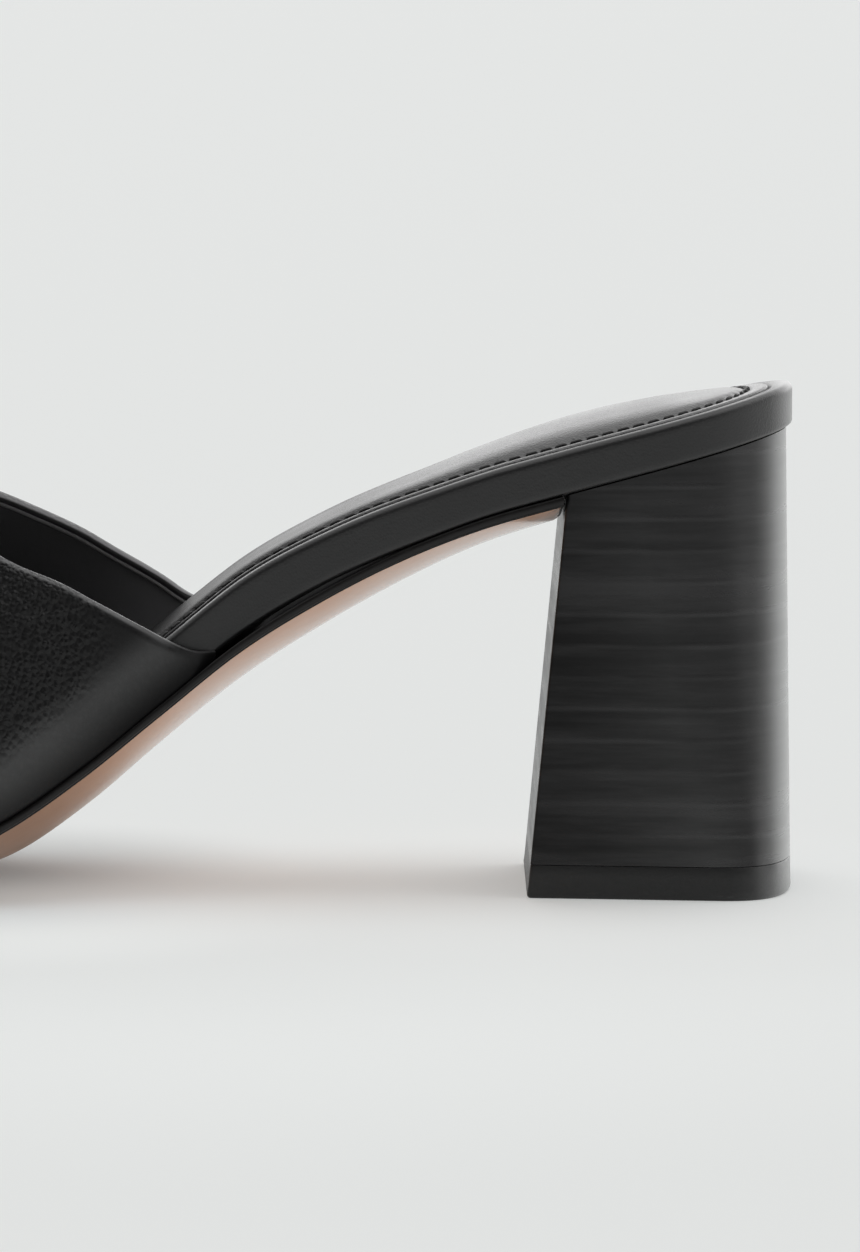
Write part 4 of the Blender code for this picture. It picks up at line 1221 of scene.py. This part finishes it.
def make_top_lift():
    """The wearing piece under the heel, its lower edge a little rounded."""
    seat = edge_height(BREAST_SEAT)
    centre = [Vector((HEEL_CENTRE, 0.0))] * len(heel_loop(0.0))
    rings = [ring(centre, lambda u, v: 0.0)]
    for inset, drop in quarter(LIFT_ROUND, 4):
        rings.append(ring(heel_loop(0.0, inset), lambda u, v: drop))
    for share in (0.33, 0.66):
        rings.append(ring(heel_loop(share * TOP_LIFT / seat), lambda u, v: share * TOP_LIFT))
    for inset, drop in quarter(SEAM, 2)[::-1]:
        rings.append(ring(heel_loop(TOP_LIFT / seat, inset), lambda u, v: TOP_LIFT - drop))
    rings.append(ring(centre, lambda u, v: TOP_LIFT))
    piece = finish_piece("top_lift_skin", loft(rings), [LIFT_RUBBER], 50)
    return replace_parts(piece, "top_lift")


def crease(side, point):
    """How far the upper's leather stands in or out at a place, in soft folds."""
    total = 0.0
    for u, z, long, wide, turn, height in OUTER_FOLDS if side == LATERAL else INNER_FOLDS:
        du, dz = point.x - u, point.z - z
        a = du * math.cos(turn) + dz * math.sin(turn)
        b = dz * math.cos(turn) - du * math.sin(turn)
        total += height * math.exp(-(a / long) ** 2 - (b / wide) ** 2)
    return total


def edge_tree(point_at):
    """Finds how far a place is from the upper's edge, whose points come by side and column."""
    tree = KDTree(2 * THROAT_COLUMNS * (EDGE_FILL + 1))
    for side in SIDES:
        for i in range(THROAT_COLUMNS):
            here, there = point_at(side, i), point_at(side, i + 1)
            for k in range(EDGE_FILL + 1):
                tree.insert(here.lerp(there, k / EDGE_FILL), i)
    tree.balance()
    return tree


def upper_columns(side):
    """Columns of one side from the wing's tip to the toe."""
    wing = [wing_column(side, i / THROAT_COLUMNS) for i in range(THROAT_COLUMNS + 1)]
    return wing + [toe_column(side, i / TOE_COLUMNS) for i in range(1, TOE_COLUMNS + 1)]


def make_upper():
    """The vamp and its wings: leather outside, folded over at the edge, a lining inside."""
    columns = {side: upper_columns(side) for side in SIDES}
    last = THROAT_COLUMNS + TOE_COLUMNS
    shape = bmesh.new()
    from_edge = shape.verts.layers.float.new("from_edge")
    above_sole = shape.verts.layers.float.new("above_sole")
    outside = {}

    def key(side, i, j):
        shared = i == last or (j == UPPER_ROWS and i >= THROAT_COLUMNS)
        return (LATERAL if shared else side, i, j)

    for side in SIDES:
        for i, (points, _) in enumerate(columns[side]):
            for j, point in enumerate(points):
                name = key(side, i, j)
                if name not in outside:
                    outside[name] = new_vertex(shape, point)

    def quad(*corners):
        distinct = list(dict.fromkeys(corners))
        if len(distinct) > 2:
            shape.faces.new(distinct)

    for side in SIDES:
        for i in range(last):
            for j in range(UPPER_ROWS):
                corners = [outside[key(side, i + a, j + b)] for a, b in ((0, 0), (1, 0), (1, 1), (0, 1))]
                quad(*(corners if side == LATERAL else corners[::-1]))
    shape.normal_update()
    probe = outside[(LATERAL, THROAT_COLUMNS // 2, UPPER_ROWS // 2)]
    outward = -1.0 if probe.normal.y > 0 else 1.0
    normals = {name: vertex.normal.copy() * outward for name, vertex in outside.items()}
    flat_edge = edge_tree(lambda side, i: outside[key(side, i, UPPER_ROWS)].co)
    for (side, i, j), vertex in outside.items():
        point = Vector((BACK - vertex.co.x, vertex.co.y - MID, vertex.co.z))
        far = flat_edge.find(vertex.co)[2]
        near = max(1 - far / ROLL_WIDTH, 0.0)
        free = ease(j, 0, 6) * ease(i, 0, 8) * ease(far, 0.001, 0.014)
        roll = ROLL_DEPTH * near * near * ease(i, 3, 14)
        shift = normals[(side, i, j)] * (crease(side, point) * free - roll)
        if i < THROAT_COLUMNS:
            tip_u = columns[side][0][0][0].x
            tuck = 1 - ease(point.x, tip_u, tip_u + TUCK_LENGTH)
            shift += Vector((0.0, -side * TUCK_DEPTH * tuck * tuck, 0.0))
        vertex.co += shift

    inside = {}
    for (side, i, j), vertex in outside.items():
        wall = mix(MARGIN_WALL, UPPER_WALL, min(j / WALL_ROWS, 1.0))
        wall = mix(TIP_WALL, wall, min(i / TIP_COLUMNS, 1.0))
        direction = Vector((0.0, 0.0, 1.0)) if j == 0 else -normals[(side, i, j)]
        inside[(side, i, j)] = shape.verts.new(vertex.co + direction * wall)
    inner_line = edge_tree(lambda side, i: inside[key(side, i, UPPER_ROWS)].co)
    for name, vertex in inside.items():
        share = inner_line.find(vertex.co)[2] / (HEM - FOLD)
        if share < 1:
            roll = normals[name] * HEM_ROLL * math.sin(math.pi * share)
            vertex.co -= roll * min(name[1] / TIP_COLUMNS, 1.0)

    rim = {}
    edge_line = edge_tree(lambda side, i: outside[key(side, i, UPPER_ROWS)].co)
    for side in SIDES:
        for i in range(THROAT_COLUMNS + 1):
            name = key(side, i, UPPER_ROWS)
            if name in rim:
                continue
            if i == THROAT_COLUMNS:
                beside = (LATERAL, i - 1), (MEDIAL, i - 1)
            else:
                beside = (side, max(i - 1, 0)), (side, i + 1)
            before, after = (outside[key(*column, UPPER_ROWS)].co for column in beside)
            away = (after - before).cross(normals[name]).normalized()
            outer, inner = outside[name].co, inside[name].co
            if away.dot(outer - outside[key(side, i, UPPER_ROWS - 1)].co) < 0:
                away.negate()
            centre, half = (outer + inner) / 2, (outer - inner) / 2
            turns = [math.pi * k / RIM_STEPS for k in range(1, RIM_STEPS)]
            rim[name] = [shape.verts.new(centre + half * math.cos(turn) + away * RIM_ROUND * math.sin(turn))
                         for turn in turns]

    ends = {}
    for side in SIDES:
        for i in range(last + 1):
            name = key(side, i, 0)
            if name not in ends:
                low = columns[side][i][1]
                wall = mix(TIP_WALL, MARGIN_WALL, min(i / TIP_COLUMNS, 1.0))
                high = low + Vector((0.0, 0.0, wall))
                ends[name] = (new_vertex(shape, low), new_vertex(shape, high))

    for side in SIDES:
        for i in range(last):
            for j in range(UPPER_ROWS):
                quad(*[inside[key(side, i + a, j + b)] for a, b in ((0, 0), (0, 1), (1, 1), (1, 0))])
            names = [key(side, k, 0) for k in (i, i + 1)]
            strips = [[[outside[name], *ends[name], inside[name]] for name in names]]
            if i < THROAT_COLUMNS:
                names = [key(side, k, UPPER_ROWS) for k in (i, i + 1)]
                strips.append([[outside[name], *rim[name], inside[name]] for name in names])
            for left, right in strips:
                for k in range(len(left) - 1):
                    quad(left[k], right[k], right[k + 1], left[k + 1])
        tip = [key(side, 0, j) for j in range(UPPER_ROWS + 1)]
        quad(outside[tip[0]], inside[tip[0]], ends[tip[0]][1], ends[tip[0]][0])
        for a, b in zip(tip, tip[1:]):
            quad(outside[a], outside[b], inside[b], inside[a])
        quad(outside[tip[-1]], *rim[tip[-1]], inside[tip[-1]])
    for (side, i, j), vertex in outside.items():
        vertex[from_edge] = -edge_line.find(vertex.co)[2]
        vertex[above_sole] = (vertex.co - outside[key(side, i, 0)].co).length
    for vertex in inside.values():
        vertex[from_edge] = FOLD + inner_line.find(vertex.co)[2]
        vertex[above_sole] = 1.0
    for name, vertices in rim.items():
        for k, vertex in enumerate(vertices):
            vertex[from_edge] = FOLD * (k + 1) / RIM_STEPS
            vertex[above_sole] = outside[name][above_sole]
    for low, high in ends.values():
        low[from_edge] = -1.0
        high[from_edge] = 1.0
    paths = {}
    for side in SIDES:
        path = []
        for i in range(THROAT_COLUMNS + 1):
            line = [inside[key(side, i, j)].co.copy() for j in range(UPPER_ROWS, -1, -1)]
            far = [FOLD + inner_line.find(point)[2] for point in line]
            k = next((k for k in range(1, len(line)) if far[k] >= HEM), None)
            if k:
                share = (HEM - far[k - 1]) / max(far[k] - far[k - 1], MERGE)
                normal = -normals[key(side, i, UPPER_ROWS - k)]
                path.append((line[k - 1].lerp(line[k], min(max(share, 0.0), 1.0)), normal))
        paths[side] = path
    piece = finish_piece("upper_skin", shape, [UPPER_LEATHER], 50)
    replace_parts(piece, "upper")
    return paths


def make_lining_edge(paths):
    """The lining's raised edge inside the upper, below the folded band."""
    shape = bmesh.new()
    line = paths[LATERAL] + paths[MEDIAL][::-1]
    rows = []
    for i, (point, normal) in enumerate(line):
        along = line[min(i + 1, len(line) - 1)][0] - line[max(i - 1, 0)][0]
        if along.length < MERGE:
            continue
        sideways = normal.cross(along).normalized()
        row = []
        for k in range(LIP_STEPS + 1):
            turn = math.pi * k / LIP_STEPS
            out = LIP_HEIGHT * math.sin(turn) - LIP_SUNK
            offset = sideways * (LIP_WIDTH / 2 * math.cos(turn)) + normal * out
            row.append(shape.verts.new(point + offset))
        rows.append(row)
    join_rings(shape, rows)
    shape.faces.new(rows[0])
    shape.faces.new(rows[-1][::-1])
    return finish_piece("lining_edge", shape, [LINING_EDGE], 80)


def make_floor():
    """A wide pale floor that fills the view."""
    shape = bmesh.new()
    signs = ((-1, -1), (1, -1), (1, 1), (-1, 1))
    shape.faces.new([shape.verts.new((x * FLOOR_REACH, y * FLOOR_REACH, 0.0)) for x, y in signs])
    mesh = bpy.data.meshes.new("floor")
    shape.to_mesh(mesh)
    shape.free()
    mesh.materials.append(PAPER)
    floor = bpy.data.objects.new("floor", mesh)
    bpy.context.scene.collection.objects.link(floor)


def make_world():
    """Soft studio light from all round: bright above and behind, dim at the camera's side."""
    world = bpy.data.worlds.new("studio")
    bpy.context.scene.world = world
    world.use_nodes = True
    tree = world.node_tree
    tree.nodes.clear()
    _, y, z = axes(tree, "Generated")
    top = (y * TOP_LEAN + z).span(TOP_FROM, TOP_FULL, 0.0, TOP_LIGHT)
    low = z.span(*LOW_HEIGHTS, LOW_LIGHT, DARK_LIGHT)
    back = y.span(BACK_FROM, BACK_FULL, 0.0, BACK_LIGHT) * z.span(*BACK_FALL, 1.0, 0.0)
    light = top + low + back * z.span(*BACK_RISE, 0.5, 1.0)
    toward = node(tree, "TexCoord", "Generated", {})
    for azimuth, height, half, edge, gain in SOFT_BOXES:
        flat = math.cos(math.radians(height))
        turn = math.radians(azimuth)
        aim = (math.sin(turn) * flat, -math.cos(turn) * flat, math.sin(math.radians(height)))
        near = vector(tree, "DOT_PRODUCT", toward, aim, "Value")
        inner, outer = math.cos(math.radians(half - edge)), math.cos(math.radians(half + edge))
        light = light + near.span(outer, inner, 0.0, gain)
    light = maths(tree, "MAXIMUM", light, LEAST_LIGHT)
    sky = node(tree, "Background", "Background", {"Color": LIGHT_COLOUR, "Strength": light})
    fill(tree, tree.nodes.new("ShaderNodeOutputWorld"), {"Surface": sky})


def make_camera():
    """The photograph's view: from the shoe's outer side, a little above it."""
    lens = bpy.data.cameras.new("camera")
    lens.sensor_fit = "VERTICAL"
    lens.sensor_height = SENSOR
    lens.lens = VIEW_LENGTH
    lens.clip_end = 100.0
    camera = bpy.data.objects.new("camera", lens)
    camera.location = (BACK - VIEW_U, MID - VIEW_DISTANCE, VIEW_HEIGHT)
    camera.rotation_euler = (math.radians(90 - VIEW_DOWN), 0.0, 0.0)
    bpy.context.scene.collection.objects.link(camera)
    bpy.context.scene.camera = camera


make_outsole()
make_insole()
make_sock()
make_stitches()
make_lining_edge(make_upper())
make_heel()
make_top_lift()
make_floor()
make_world()
make_camera()
bpy.context.scene.view_settings.view_transform = "Standard"
